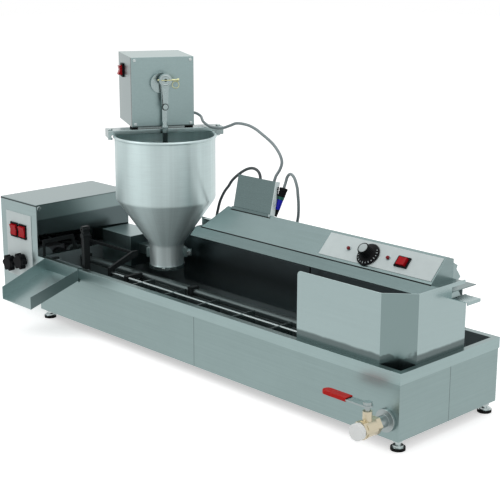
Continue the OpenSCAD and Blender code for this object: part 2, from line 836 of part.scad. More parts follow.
// Chute and guard
module outlet_chute() {
    t = sheet_t;
    wall = [[0, chute_top], [0, chute_top + chute_wall], [-chute_run, chute_low + chute_wall],
        [-chute_run, chute_low]];
    drop = atan2(chute_top - chute_low, chute_run);
    color(steel) at_frame() {
        slab_x(chute_x0, chute_x0 + t, wall);
        intersection() {
            translate([chute_x1, 0, 0]) rotate([0, 0, -chute_taper]) translate([-t, 0, 0]) slab_x(0, t,
                [[9, chute_top - 9 * tan(-drop)], [9, chute_top + chute_wall],
                    [-chute_run * 1.1, chute_low + chute_wall - chute_run * 0.1 * tan(drop)],
                [-chute_run * 1.1, chute_low - chute_run * 0.1 * tan(drop)]]);
            box(chute_x0, chute_x1 + 9, -chute_run, 0, 0, rim_z * 2);
        }
        intersection() {
            slab_x(chute_x0, chute_x1, [[0, chute_top], [0, chute_top + t], [-chute_run, chute_low + t],
                [-chute_run, chute_low]]);
            linear_extrude(height = rim_z) polygon([[chute_x0, 0], [chute_x1, 0],
                [chute_x1 - chute_run * tan(chute_taper), -chute_run], [chute_x0, -chute_run]]);
        }
        box(chute_x0, chute_x1, -t, 0, chute_top - 4, rim_z + t);
        box(chute_x0, chute_x1, 0, rim_w - 3, rim_z, rim_z + t);
    }
}

module splash_guard() {
    t = sheet_t;
    cx = guard_x1 - guard_chamfer - 4.5;
    cy = tank_y0 + guard_chamfer;
    color(steel) at_frame() {
        difference() {
            translate([0, 0, guard_bottom]) linear_extrude(height = guard_z - guard_bottom)
                polygon([[guard_x0, tank_y0], [cx, tank_y0], [guard_x1, cy], [guard_x1, guard_y1],
                [guard_x1 - t, guard_y1], [guard_x1 - t, cy + t * 0.4], [cx - t * 0.4, tank_y0 + t],
                [guard_x0, tank_y0 + t]]);
            difference() {
                box(guard_x0 - eps, guard_x0 + guard_corner, tank_y0 - eps, tank_y0 + t + eps,
                    guard_z - guard_corner, guard_z + eps);
                bar_y(tank_y0 - 2, tank_y0 + t + 2, guard_x0 + guard_corner, guard_z - guard_corner,
                    guard_corner);
            }
            box(guard_x1 - t - eps, guard_x1 + eps, window_y0, guard_y1 + eps, window_z0, window_z1);
            box(guard_x1 - t - eps, guard_x1 + eps, finger_y1, guard_y1 + eps, window_z0, guard_z + eps);
        }
        box(guard_x1 - t, guard_x1 + tab_l, window_y0, finger_y1, window_z0 - t, window_z0);
        box(guard_x1 + tab_l - t, guard_x1 + tab_l, window_y0, finger_y1, window_z0 - 6, window_z0);
    }
}

// Heater head
function head_outline(o) = [[crease_y + 2.4 * o, crease_z + o], [ridge_y + 0.27 * o, ridge_z - 1.4 * o],
    [head_rear_y - o, head_rear_z - 0.7 * o], [head_rear_y - o, crease_z + o]];

function head_side(o) = [[head_x0 + 1.3 * o + head_lean * o, crease_z + o], [head_x1 - o, crease_z + o],
    [head_x1 - o, ridge_z + eps], [head_x0 + 1.3 * o + head_lean * (head_h + eps), ridge_z + eps]];

module head_solid(o) {
    intersection() {
        slab_x(head_x0, head_x1 - o, head_outline(o));
        slab_y(crease_y, head_rear_y, head_side(o));
    }
}

module head_body() {
    color(steel) at_frame() difference() {
        head_solid(0);
        head_solid(sheet_t);
        box(head_x0 + 12, head_x1 - 4, crease_y + 14, head_rear_y - 4, crease_z - eps, crease_z + 4);
        bar_y(head_rear_y - 4, head_rear_y + eps, bulb_x, pipe_z, 2);
        panel_frame() for (x = lamp_x) bar_y(-eps, 6, x, lamp_s, lamp_r - 1.5);
        panel_frame() bar_y(-eps, 6, dial_x, dial_s, 5);
        at_heater_switch() switch_cut(heater_bezel_h, heater_bezel_w, 5);
    }
}

module head_base() {
    t = sheet_t;
    low_y = crease_y - fascia_drop;
    low_z = crease_z - fascia_drop;
    color(steel) at_frame() difference() {
        union() {
            box(base_x0, tank_x1 - t, crease_y, base_rear_y, crease_z - t, crease_z);
            slab_x(base_x0, tank_x1 - 2 * t, [[crease_y, crease_z], [low_y, low_z], [low_y + t, low_z - t],
                [crease_y + t, crease_z - t]]);
        }
        for (y = element_y) bar_z(crease_z - 2 * t, crease_z + eps, element_x1, y, tube_r + leg_gap);
    }
}

module head_panel() {
    color(white) at_frame() panel_frame() difference() {
        box(dial_plate_x1 - dial_plate_l, dial_plate_x1, -plate_t, 0, 7, panel_len - 5);
        for (x = lamp_x) bar_y(-plate_t - eps, eps, x, lamp_s, lamp_r - 1.5);
        bar_y(-plate_t - eps, eps, dial_x, dial_s, 5);
        translate([heater_switch_x, -plate_t, heater_switch_s]) switch_cut(heater_bezel_w, heater_bezel_h, 0);
    }
}

// Stepped bracket between the back panel and the head
function leg(low) = [[base_rear_y, crease_z - 21], [base_rear_y, crease_z + 32], [back_y - 18, crease_z + 17],
    [back_y - 21, crease_z + 11], [back_y - 8, crease_z - 6], [back_y - 22, crease_z - 14],
    [back_y - 22, crease_z - 20], [back_y - 7, crease_z - 38], [back_y, crease_z - 51], [back_y, low]];

module back_panel() {
    t = sheet_t;
    color(dark_steel) at_frame() {
        slab_y(back_y, back_y + t, [[back_x0, back_z0], [back_x1, back_z0], [back_x1, back_z1],
            [notch_x, back_z1], [notch_x, notch_z], [back_x0, notch_z]]);
        box(notch_x + 15, back_x1, back_y - 10, back_y, back_z1 - t, back_z1);
        box(back_x0, back_x1, back_y + t, shell_d - 3, rim_z, rim_z + t);
        slab_x(head_x1 - 14, head_x1 - 14 + 2 * t, leg(rim_z + 6));
        slab_x(head_x0 + 4, head_x0 + 4 + 2 * t, leg(crease_z - 57));
    }
}

module heating_element() {
    ya = element_y[0];
    yb = element_y[1];
    bend_x = element_x1 - element_bend;
    top = crease_z + 14;
    color(dark_steel) at_frame() {
        for (y = element_y) {
            bar_x(element_x0, bend_x, y, element_z, tube_r);
            bar_z(element_z + element_bend, top, element_x1, y, tube_r);
            translate([bend_x, y, element_z + element_bend]) rotate([90, 0, 0]) rotate([0, 0, -90])
                rotate_extrude(angle = 90) translate([element_bend, 0]) circle(r = tube_r);
        }
        translate([element_x0, (ya + yb) / 2, element_z]) rotate([0, 0, 90]) rotate_extrude(angle = 180)
            translate([(yb - ya) / 2, 0]) circle(r = tube_r);
        for (x = [element_x0 + 60, element_x1 - 70])
            box(x, x + 6, ya - 8, yb + 8, floor_z, element_z - tube_r / 2);
    }
}

module thermostat() {
    color(dark_steel) at_frame() {
        panel_frame() {
            translate([dial_x, 0, dial_s]) box(-17, 17, sheet_t + 0.5, 19, -8, 14);
            bar_y(-20, sheet_t + 0.5, dial_x, dial_s, 3);
        }
        bar_x(bulb_x, dial_x, head_rear_y - 14.5, pipe_z, pipe_half);
        bar_y(ridge_y - 12.5, head_rear_y - 14.5, dial_x, pipe_z, pipe_half);
        bar_y(head_rear_y - 14.5, pipe_y, bulb_x, pipe_z, pipe_half);
        bar_z(element_z + 6, pipe_z, bulb_x, pipe_y, pipe_half);
        translate([bulb_x, pipe_y, pipe_z]) sphere(r = pipe_half);
        bar_x(bulb_x, bulb_x + bulb_l, pipe_y, element_z + 6, 2 * pipe_half);
        bar_y(head_rear_y, head_rear_y + 4, bulb_x, pipe_z, 5);
    }
}

module thermostat_knob() {
    color(black) at_frame() panel_frame() difference() {
        union() {
            bar_y(-plate_t - 4, -plate_t - free_gap, dial_x, dial_s, dial_r);
            bar_y(-22, -plate_t - 4, dial_x, dial_s, 12.5);
            bar_y(-25, -22, dial_x, dial_s, 11);
        }
        bar_y(-20.5, 0, dial_x, dial_s, 3 + run_gap);
    }
}

module indicator_lamps() {
    color(red) at_frame() panel_frame() for (x = lamp_x) {
        bar_y(-plate_t - 3, -plate_t, x, lamp_s, lamp_r);
        bar_y(-plate_t - 5.5, -plate_t - 3, x, lamp_s, lamp_r * 0.72);
        bar_y(-plate_t, 9, x, lamp_s, lamp_r - 1.6);
    }
}

// Connector shield: a leaning plate with side flanges on the head's ridge
module shield_frame() {
    translate([0, ridge_y + 0.5, ridge_z - 2]) rotate([-shield_lean, 0, 0]) children();
}

module connector_shield() {
    t = sheet_t;
    x1 = shield_x0 + shield_w;
    color(steel) at_frame() difference() {
        shield_frame() {
            box(shield_x0, x1, 0, t, -9, shield_h);
            for (x = [shield_x0, x1 - t]) box(x, x + t, 0, shield_flange, -9, shield_h);
            box(shield_x0, x1, -shield_foot, 0, -9, 4);
        }
        slab_x(head_x0, head_x1, head_outline(0));
        box(head_x0, head_x1, crease_y, head_rear_y, 0, crease_z + 20);
        translate([0, ridge_y - 20, 0]) box(head_x0, head_x1, 0, 16.5, 0, ridge_z * 2);
    }
}

module at_plug() {
    translate([shield_x0 + shield_w - 3, head_rear_y - 4.5, ridge_z - 5.4]) rotate([-17, 7, 0]) children();
}

module cable_plug() {
    color(black) at_frame() difference() {
        at_plug() cylinder(h = plug_l, r1 = plug_tip_r, r2 = plug_top_r);
        slab_x(head_x0, head_x1, head_outline(0));
    }
}

module cable_glands() {
    r = cable_d / 2 + 2.5;
    color(black) at_frame() {
        shield_frame() for (x = socket_x) bar_z(socket_top - 26, socket_top, x, sheet_t + socket_r, socket_r);
        for (p = [head_route, plug_route]) bar_z(back_z1, back_z1 + 2, p[len(p) - 1][0], back_y - 5, r);
        mixer_frame() bar_x(mixer_w / 2, mixer_w / 2 + 7, mixer_gland_y, mixer_route[0][2], r);
    }
}

module mixer_cable() {
    color(grey) at_frame() sweep(mixer_route, cable_d / 2);
}

module head_cable() {
    color(grey) at_frame() sweep(head_route, cable_d / 2);
}

module plug_cable() {
    color(grey) at_frame() sweep(plug_route, cable_d / 2);
}

// Hopper
module hopper() {
    t = sheet_t;
    color(steel) at_frame() translate([hopper_x, hopper_y, 0]) {
        rotate_extrude() polygon([[neck_r - t, neck_low], [neck_r, neck_low], [neck_r, neck_z],
            [hopper_r, junction_z], [hopper_r, hopper_z], [hopper_r - t, hopper_z],
            [hopper_r - t, junction_z + 0.5], [neck_r - t, neck_z + 0.5]]);
        translate([0, 0, hopper_z]) rotate_extrude() translate([hopper_r, 0]) circle(r = bead_r);
    }
}

module nozzle() {
    t = sheet_t;
    color(steel) at_frame() translate([hopper_x, hopper_y, 0]) rotate_extrude()
        polygon([[piston_r + free_gap, nozzle_low], [neck_r + 2, nozzle_low], [neck_r + 2, neck_low + 4],
            [neck_r, neck_low + 4],
        [neck_r, neck_low], [piston_r + free_gap, neck_low]]);
}

module at_yoke() {
    translate([hopper_x, hopper_y, 0]) rotate([0, 0, view_turn - 90]) children();
}

module hopper_support() {
    t = sheet_t;
    ring_r = neck_r + 8;
    color(dark_steel) at_frame() {
        difference() {
            box(support_x0, support_x1, support_y0, support_y1, support_z0, support_z1);
            box(support_x0 + t, support_x1 - t, support_y0 + t, support_y1 - t, support_z0 - eps,
                support_z1 - t);
        }
        box(support_x0, support_x1, support_y1, shell_d - 4, rim_z, rim_z + 2 * t);
        difference() {
            union() {
                bar_z(neck_z - 34, neck_z - 14, hopper_x, hopper_y, ring_r);
                box(support_x1, hopper_x, hopper_y - 16, hopper_y + 16, neck_z - 34, neck_z - 14);
                at_yoke() box(-14, -4, neck_r + 3, neck_r + 17, neck_z - 31, neck_z - 17);
            }
            bar_z(0, neck_z, hopper_x, hopper_y, neck_r);
            at_yoke() box(-4, 200, -200, 200, 0, neck_z);
        }
    }
}

module cross_bar() {
    inner = hopper_r + bead_r + 2;
    color(steel) at_frame() mixer_frame() {
        box(bar_x0, bar_x1, bar_y0, bar_y1, bar_z0, bar_z0 + bar_t);
        box(bar_x0, -inner, bar_y0, bar_y1, bar_z0 - hook_h, bar_z0);
        box(inner, bar_x1, bar_y0, bar_y1, bar_z0 - hook_h, bar_z0);
    }
}

module bolts() {
    color(dark_steel) at_frame() {
        mixer_frame() {
            for (x = bar_bolt_x) {
                bar_z(bar_z0 + bar_t, bar_z0 + bar_t + 3, x, (bar_y0 + bar_y1) / 2 - 8, 5);
                bar_z(bar_z0 - hook_h - 4, bar_z0 - hook_h, x, (bar_y0 + bar_y1) / 2 - 8, 5);
            }
            for (x = [-mixer_screw_x, mixer_screw_x], z = [mixer_z0 + 6.5, mixer_z1 - 6.5])
                bar_y(mixer_front - 2, mixer_front, x, z, 3.5);
        }
        at_yoke() {
            bar_x(-4, 1, neck_r + 11, neck_z - 24, 5);
            rotate([0, 0, -6]) bar_x(neck_r + 2, neck_r + 6, 0, nozzle_low + 4, 3.5);
        }
        bar_x(drive_x1, drive_x1 + 2, 7, drive_z - 8, 4.5);
        for (x = [support_x0 + 20, support_x1 - 20])
            bar_z(rim_z + 2 * sheet_t, rim_z + 2 * sheet_t + 4, x, shell_d - 14, 5);
    }
}

// Mixer
module mixer_box() {
    t = sheet_t;
    w = mixer_w / 2;
    color(steel) at_frame() mixer_frame() difference() {
        box(-w, w, mixer_front + t, mixer_back, mixer_z0, mixer_z1);
        box(-w + t, w - t, mixer_front, mixer_back - t, mixer_z0 + t, mixer_z1 - t);
        translate([-w, mixer_front + 95, mixer_z0 + 112]) rotate([0, 0, -90])
            switch_cut(bezel_w - 4, bezel_h - 4, t);
    }
}

module mixer_front_plate() {
    w = mixer_w / 2;
    color(steel) at_frame() mixer_frame() difference() {
        box(-w, w, mixer_front, mixer_front + sheet_t, mixer_z0, mixer_z1);
        bar_y(mixer_front - eps, mixer_front + sheet_t + eps, shaft_w, shaft_z, crank_shaft_r + free_gap);
    }
}

module mixer_motor() {
    t = sheet_t;
    y0 = mixer_front + t;
    color(dark_steel) at_frame() mixer_frame() {
        difference() {
            box(shaft_w - 36, shaft_w + 36, y0, y0 + 40, shaft_z - 40, shaft_z + 36);
            bar_y(y0 - eps, y0 + 25, shaft_w, shaft_z, crank_shaft_r + run_gap);
        }
        bar_y(y0 + 40, y0 + 118, shaft_w, shaft_z - 8, 32);
    }
}

module rubber_pads() {
    color(black) at_frame() mixer_frame()
        for (x = [-mixer_screw_x, mixer_screw_x], y = [bar_y0 + 12, bar_y1 - 9])
        bar_z(bar_z0 + bar_t, mixer_z0, x, y, 7);
}

module crank_disc() {
    color(steel) at_frame() mixer_frame() {
        bar_y(disc_y0, disc_y1, shaft_w, shaft_z, crank_r);
        bar_y(disc_y1, mixer_front + sheet_t + 24, shaft_w, shaft_z, crank_shaft_r);
        bar_y(conrod_y1 + 0.4, disc_y0, 0, pin_z, 9);
        bar_y(conrod_y0 - 0.4, conrod_y1 + 0.4, 0, pin_z, crank_pin_r);
        difference() {
            bar_y(conrod_y0 - 0.4 - boss_t, conrod_y0 - 0.4, 0, pin_z, boss_r);
            bar_x(-boss_r - eps, boss_r + eps, conrod_y0 - 0.4 - boss_t / 2, pin_z, 1.8);
        }
    }
}

module quick_release_pin() {
    y = conrod_y0 - 0.4 - boss_t / 2;
    front = conrod_y0 - 0.4 - boss_t - clip_gap - clip_r;
    color(brass) at_frame() mixer_frame() {
        bar_x(-boss_r - 3, clip_x - 2, y, pin_z, 1.8);
        bar_x(clip_x - 4, clip_x, y, pin_z, 3);
        bar_y(front - clip_arm_r, y, clip_x - 2, pin_z, clip_arm_r);
        bar_x(-boss_r * 0.7, clip_x - 2, front, pin_z, clip_r);
        bar_z(pin_z - clip_drop, pin_z, clip_x - clip_ring_r, y, clip_eye_r);
        translate([clip_x - clip_ring_r, y, pin_z - clip_ring_r - clip_drop]) rotate([90, 0, 0])
            rotate_extrude() translate([clip_ring_r, 0]) circle(r = clip_r);
    }
}

module connecting_rod() {
    half = conrod_w / 2;
    low = conrod_low_w / 2;
    color(steel) at_frame() mixer_frame() {
        difference() {
            union() {
                slab_y(conrod_y0, conrod_y1, [[-low, pivot_z], [low, pivot_z], [half, pin_z], [-half, pin_z]]);
                bar_y(conrod_y0, conrod_y1, 0, pin_z, half);
                bar_y(conrod_y0, conrod_y1, 0, pivot_z, low);
            }
            bar_y(conrod_y0 - eps, conrod_y1 + eps, 0, pin_z, crank_pin_r + run_gap);
        }
        translate([0, conrod_y0, pivot_z]) rotate([90, 0, 0]) cylinder(h = 4, r = 6, $fn = 6);
    }
}

module plunger() {
    wide = plunger_r + eps;
    color(steel) at_frame() translate([hopper_x, hopper_y, 0]) {
        difference() {
            bar_z(piston_z, half_top, 0, 0, plunger_r);
            rotate([0, 0, mixer_turn]) box(-wide, wide, -wide, 0.1, half_low, half_top + eps);
        }
        bar_z(piston_z - 6, piston_z + 14, 0, 0, piston_r);
        bar_z(half_low - 14, half_low - 8, 0, 0, plunger_r + 2);
    }
}

// Drain valve
module drain_pipe() {
    color(steel) at_frame() difference() {
        union() {
            bar_y(valve_y1 - 8, tank_y0 - sheet_t, drain_x, drain_z, pipe_r);
            bar_y(-5, sheet_t, drain_x, drain_z, 20);
        }
        bar_y(valve_y1 - 9, tank_y0, drain_x, drain_z, pipe_r - 2);
    }
}

module valve_body() {
    color(brass) at_frame() difference() {
        union() {
            bar_y(valve_y0, valve_y1, drain_x, drain_z, valve_r);
            for (y = [valve_y0 + 10, valve_y1]) translate([drain_x, y, drain_z]) rotate([90, 0, 0])
                cylinder(h = 10, r = valve_r * 1.16, $fn = 6);
            bar_z(drain_z, lever_z - 8, drain_x, stem_y, 8);
            bar_y(stem_y - 12, stem_y + 12, drain_x, drain_z, valve_r * 1.1);
        }
        bar_y(valve_y0 - eps, valve_y1 + eps, drain_x, drain_z, ball_bore);
        bar_y(valve_y1 - 8, valve_y1 + eps, drain_x, drain_z, pipe_r);
        translate([drain_x, stem_y, drain_z]) sphere(r = ball_r + 0.4);
        bar_z(drain_z, lever_z, drain_x, stem_y, stem_r + 0.4);
    }
}

module valve_lever() {
    top = lever_z + lever_t;
    color(white) at_frame() {
        difference() {
            translate([drain_x, stem_y, drain_z]) sphere(r = ball_r);
            bar_x(drain_x - ball_r - eps, drain_x + ball_r + eps, stem_y, drain_z, ball_bore);
        }
        bar_z(drain_z + ball_r - 2, top, drain_x, stem_y, stem_r);
        box(drain_x - lever_l + sleeve_l - 14, drain_x, stem_y - lever_w / 2, stem_y + lever_w / 2,
            lever_z, top);
        bar_z(lever_z, top, drain_x, stem_y, lever_w / 2);
        translate([drain_x, stem_y, top]) cylinder(h = 5, r = 8, $fn = 6);
        box(drain_x - lever_l + 4, drain_x - lever_l + sleeve_l, stem_y - lever_w / 2 + 4,
            stem_y + lever_w / 2 - 4, lever_z, top);
    }
}

module lever_sleeve() {
    z0 = lever_z + lever_t / 2 - sleeve_t / 2;
    x1 = drain_x - lever_l + sleeve_l - 14;
    color(red) at_frame() difference() {
        union() {
            box(drain_x - lever_l + sleeve_w / 2, x1, stem_y - sleeve_w / 2, stem_y + sleeve_w / 2, z0,
                z0 + sleeve_t);
            bar_z(z0, z0 + sleeve_t, drain_x - lever_l + sleeve_w / 2, stem_y, sleeve_w / 2);
        }
        box(drain_x - lever_l + 4, x1 + eps, stem_y - lever_w / 2 + 4, stem_y + lever_w / 2 - 4,
            lever_z, lever_z + lever_t);
    }
}

module outlet_cap() {
    color(white) at_frame() {
        bar_y(valve_y0 - 11, valve_y0, drain_x, drain_z, cap_r);
        bar_y(valve_y0, valve_y0 + 6, drain_x, drain_z, ball_bore);
    }
}

outer_shell();
base_plate();
oil_tank();
lane_divider();
levelling_feet();
shaft_bearings();
flipper();
ejector();
idler_gear();
turn_motor();
pusher_rod();
pusher_link();
drive_disc();
drive_motor();
drive_box_body();
drive_box_lid();
control_plate();
switch_bodies();
conveyor_rocker();
turnover_rocker();
heater_rocker();
mixer_rocker();
speed_controls();
conveyor_speed_knob();
turnover_speed_knob();
control_board();
outlet_chute();
splash_guard();
head_body();
head_base();
head_panel();
back_panel();
heating_element();
thermostat();
thermostat_knob();
indicator_lamps();
connector_shield();
cable_plug();
cable_glands();
mixer_cable();
head_cable();
plug_cable();
hopper();
nozzle();
hopper_support();
cross_bar();
bolts();
mixer_box();
mixer_front_plate();  // mixer_front
mixer_motor();
rubber_pads();
crank_disc();
quick_release_pin();
connecting_rod();
plunger();
drain_pipe();
valve_body();
valve_lever();
lever_sleeve();
outlet_cap();
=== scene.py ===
# %% [markdown]
# # A ring doughnut fryer
# The machine is a long steel oil tank on four feet. A hopper drops rings of dough into its rear lane, a
# flipper turns them into the front lane, paddles push them along, and an ejector tips them onto a
# chute. The solids come from the CAD frame. Blender adds soft edges, finishes, cables and small
# details.

# %% Load the frame
import json
import math

import bmesh
import bpy
from mathutils import Matrix, Vector


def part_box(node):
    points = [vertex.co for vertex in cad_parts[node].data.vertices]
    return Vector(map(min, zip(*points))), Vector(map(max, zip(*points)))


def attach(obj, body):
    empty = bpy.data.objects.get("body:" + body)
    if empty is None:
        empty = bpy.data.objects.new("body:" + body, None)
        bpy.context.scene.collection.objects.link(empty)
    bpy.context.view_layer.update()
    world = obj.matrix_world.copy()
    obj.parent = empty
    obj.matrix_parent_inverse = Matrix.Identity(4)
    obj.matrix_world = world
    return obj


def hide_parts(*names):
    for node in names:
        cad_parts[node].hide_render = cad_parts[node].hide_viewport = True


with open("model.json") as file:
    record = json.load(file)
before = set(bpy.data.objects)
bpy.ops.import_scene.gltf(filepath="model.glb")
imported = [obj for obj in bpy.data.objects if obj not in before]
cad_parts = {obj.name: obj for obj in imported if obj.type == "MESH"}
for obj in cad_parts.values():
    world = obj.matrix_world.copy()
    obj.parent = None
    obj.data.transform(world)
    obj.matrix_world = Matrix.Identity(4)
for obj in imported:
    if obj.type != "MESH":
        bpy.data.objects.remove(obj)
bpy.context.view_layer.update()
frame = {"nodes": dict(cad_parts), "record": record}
nodes = frame["nodes"]
print("CAD nodes:", len(nodes))

# %% [markdown]
# ## Places
# Every place on the machine is measured in millimetres from the rim's front right corner and the
# casing's lower edge, as on a drawing. The casing hangs one sheet inside the rim, so its box gives that
# corner, and at() turns a drawing place into metres. Metres could be typed for each piece, but then no
# number could be compared with the drawing.

# %% Drawing places
MM = 0.001
SHEET = 1.5 * MM
shell_low, shell_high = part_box("outer_shell")
CORNER = Vector((shell_high.x + SHEET, shell_low.y - SHEET, shell_low.z))


def at(x, y, z):
    return CORNER + Vector((x, y, z)) * MM


print("drawing corner:", [round(v, 4) for v in CORNER])

# %% [markdown]
# ## Camera
# The camera stands to the front right, higher than the mixer, and looks down along the tank. A
# constraint could aim it at the middle, but its place and three angles are known from the vanishing
# lines of the casing, so they go straight into its matrix. The lens has no shift and no blur.

# %% Camera
def new_object(name, data):
    thing = bpy.data.objects.new(name, data)
    bpy.context.scene.collection.objects.link(thing)
    return thing


turn, dip, roll = math.radians(46.06), math.radians(14.58), math.radians(0.16)
ahead = Vector((-math.sin(turn) * math.cos(dip), math.cos(turn) * math.cos(dip), -math.sin(dip)))
level = Vector((math.cos(turn), math.sin(turn), 0))
upright = level.cross(ahead)
right = level * math.cos(roll) + upright * math.sin(roll)
up = upright * math.cos(roll) - level * math.sin(roll)
optics = bpy.data.cameras.new("photo_camera")
optics.sensor_fit = "HORIZONTAL"
optics.sensor_width = 36
optics.lens = 87.94
optics.clip_end = 30
camera = new_object("photo_camera", optics)
aim = Matrix((right, up, -ahead)).transposed().to_4x4()
camera.matrix_world = Matrix.Translation(at(1167.4, -1463.3, 809.5)) @ aim
bpy.context.scene.camera = camera
print("camera at", [round(v, 3) for v in camera.location])

# %% [markdown]
# ## Shader tools
# A shader is a small graph of nodes. One graph is quickly joined by hand in the editor, but this
# machine has nearly forty finishes. These helpers add a node, set its sockets and join it, so that each
# finish below reads as a short list. A finish never depends on where the camera stands: it reads the
# object's own coordinates.

# %% Shader helpers
def add(tree, kind, sockets=None, **settings):
    node = tree.nodes.new("ShaderNode" + kind)
    for key, value in settings.items():
        setattr(node, key, value)
    for key, value in (sockets or {}).items():
        if isinstance(value, bpy.types.NodeSocket):
            tree.links.new(value, node.inputs[key])
        else:
            node.inputs[key].default_value = value
    return node


def calc(tree, operation, a, b=0.0):
    return add(tree, "Math", {0: a, 1: b}, operation=operation).outputs[0]


def noise(tree, vector, scale, detail=2.0, rough=0.5):
    sockets = {"Vector": vector, "Scale": scale, "Detail": detail, "Roughness": rough}
    return add(tree, "TexNoise", sockets).outputs["Fac"]


def blend_colour(tree, factor, a, b):
    return add(tree, "Mix", {0: factor, 6: a, 7: b}, data_type="RGBA").outputs[2]


print("shader helpers ready")

# %% [markdown]
# ## Materials and groups
# A material here is one Principled shader with a Texture Coordinate node beside it. Both are kept in
# PAINT under the material's name, so that stains can be laid over a finish later. A grain that many
# finishes share could be copied into each of them. A node group with named sockets is built once and
# only placed in each.

# %% Material helpers
PAINT = {}


def new_material(name):
    material = bpy.data.materials.new(name)
    material.use_nodes = True
    tree = material.node_tree
    tree.nodes.clear()
    skin = add(tree, "BsdfPrincipled")
    add(tree, "OutputMaterial", {"Surface": skin.outputs["BSDF"]})
    place = add(tree, "TexCoord")
    PAINT[name] = skin, place
    return material, tree, skin, place


def new_group(name, inputs, outputs):
    tree = bpy.data.node_groups.new(name, "ShaderNodeTree")
    for label, kind in inputs:
        tree.interface.new_socket(label, in_out="INPUT", socket_type="NodeSocket" + kind)
    for label, kind in outputs:
        tree.interface.new_socket(label, in_out="OUTPUT", socket_type="NodeSocket" + kind)
    return tree, tree.nodes.new("NodeGroupInput").outputs, tree.nodes.new("NodeGroupOutput").inputs


def join_finish(tree, skin, finish, bump, depth):
    sockets = {"Height": finish.outputs["Height"], "Strength": bump, "Distance": depth * MM}
    relief = add(tree, "Bump", sockets)
    tree.links.new(finish.outputs["Color"], skin.inputs["Base Color"])
    tree.links.new(finish.outputs["Roughness"], skin.inputs["Roughness"])
    tree.links.new(relief.outputs["Normal"], skin.inputs["Normal"])


print("material helpers ready")

# %% [markdown]
# ## Rolled grain
# Sheet steel is rolled and then brushed, so it has long fine streaks, soft handling marks and a gloss
# that changes a little from spot to spot. A photo texture would repeat and need UV maps. Noise doesn't:
# one noise is stretched along the sheet for the streaks, and two round ones make the marks. It is a
# node group, because every steel finish uses it with its own tone.

# %% Rolled grain group
grain, g_in, g_out = new_group(
    "rolled_grain",
    [("Streak", "Vector"), ("Place", "Vector"), ("Light", "Color"), ("Dark", "Color"),
     ("Gloss", "Float"), ("Spread", "Float")],
    [("Color", "Color"), ("Roughness", "Float"), ("Height", "Float")],
)
streaks = noise(grain, g_in["Streak"], 1.0, 4.0, 0.65)
marks = noise(grain, g_in["Place"], 6.0, 4.0, 0.55)
specks = noise(grain, g_in["Place"], 70.0)
tone = calc(grain, "MULTIPLY", streaks, 0.5)
tone = calc(grain, "ADD", tone, calc(grain, "MULTIPLY", marks, 0.38))
tone = calc(grain, "ADD", tone, calc(grain, "MULTIPLY", specks, 0.12))
grain.links.new(blend_colour(grain, tone, g_in["Dark"], g_in["Light"]), g_out["Color"])
swing = calc(grain, "MULTIPLY", calc(grain, "SUBTRACT", tone, 0.5), g_in["Spread"])
grain.links.new(calc(grain, "ADD", swing, g_in["Gloss"]), g_out["Roughness"])
grain.links.new(streaks, g_out["Height"])
print("group:", grain.name)

# %% [markdown]
# ## Which way the grain runs
# A sheet's streaks run along its length. A face that looks along the machine has them across instead,
# so the face's own normal picks the direction. Spun metal has its scratches round the axis: there the
# angle and the height take the place of X and Z. The scratches draw reflections out up and down, which
# is done by the shader's anisotropy with Z as its tangent.

# %% Grain directions
FACE_ON = 0.75
LONG, FINE = 7, 420
SPUN_ROUND, SPUN_FINE = 1.6, 380
SPUN_STRETCH = 0.85


def sheet_streaks(tree, place):
    face = add(tree, "SeparateXYZ", {0: place.outputs["Normal"]})
    is_end = calc(tree, "GREATER_THAN", calc(tree, "ABSOLUTE", face.outputs["X"]), FACE_ON)
    along = add(tree, "Mapping", {"Vector": place.outputs["Object"], "Scale": (LONG, FINE, FINE)})
    across = add(tree, "Mapping", {"Vector": place.outputs["Object"], "Scale": (FINE, LONG, FINE)})
    pick = add(tree, "Mix", {0: is_end, 4: along.outputs[0], 5: across.outputs[0]}, data_type="VECTOR")
    return pick.outputs[1]


def spun_streaks(tree, place, axis):
    shift = (-axis.x, -axis.y, 0)
    centred = add(tree, "Mapping", {"Vector": place.outputs["Object"], "Location": shift})
    part = add(tree, "SeparateXYZ", {0: centred.outputs[0]})
    angle = calc(tree, "ARCTAN2", part.outputs["Y"], part.outputs["X"])
    height = calc(tree, "MULTIPLY", part.outputs["Z"], SPUN_FINE)
    return add(tree, "CombineXYZ", {0: calc(tree, "MULTIPLY", angle, SPUN_ROUND), 2: height}).outputs[0]


print("grain directions ready")

# %% [markdown]
# ## Steel finishes
# Metal shows its surroundings times its own colour, so in a white studio each sheet renders as the
# colour that is written here. One steel for the whole machine would look flat. The clean sheets are one
# steel whose gloss differs a little, and each of their colours is the tone that sheet takes in the studio
# light, so their darker and lighter rows are painted shade and painted light. Each has its own row with
# colour, gloss and how much the two change.

# %% Steel helper
def steel(name, colour, gloss, spread=0.16, metal=1.0, drift=0.2, shine=0.5, spun_at=None, bump=0.04):
    material, tree, skin, place = new_material(name)
    if spun_at is None:
        streak = sheet_streaks(tree, place)
    else:
        streak = spun_streaks(tree, place, spun_at)
        skin.inputs["Anisotropic"].default_value = SPUN_STRETCH
        tree.links.new(add(tree, "CombineXYZ", {2: 1.0}).outputs[0], skin.inputs["Tangent"])
    light = [c * (1 + drift) for c in colour]
    dark = [c * (1 - drift) for c in colour]
    sockets = {"Streak": streak, "Place": place.outputs["Object"], "Light": (*light, 1),
               "Dark": (*dark, 1), "Gloss": gloss, "Spread": spread}
    finish = add(tree, "Group", sockets, node_tree=grain)
    skin.inputs["Metallic"].default_value = metal
    skin.inputs["Specular IOR Level"].default_value = shine
    join_finish(tree, skin, finish, bump, 0.4)
    return material


print("steel helper ready")
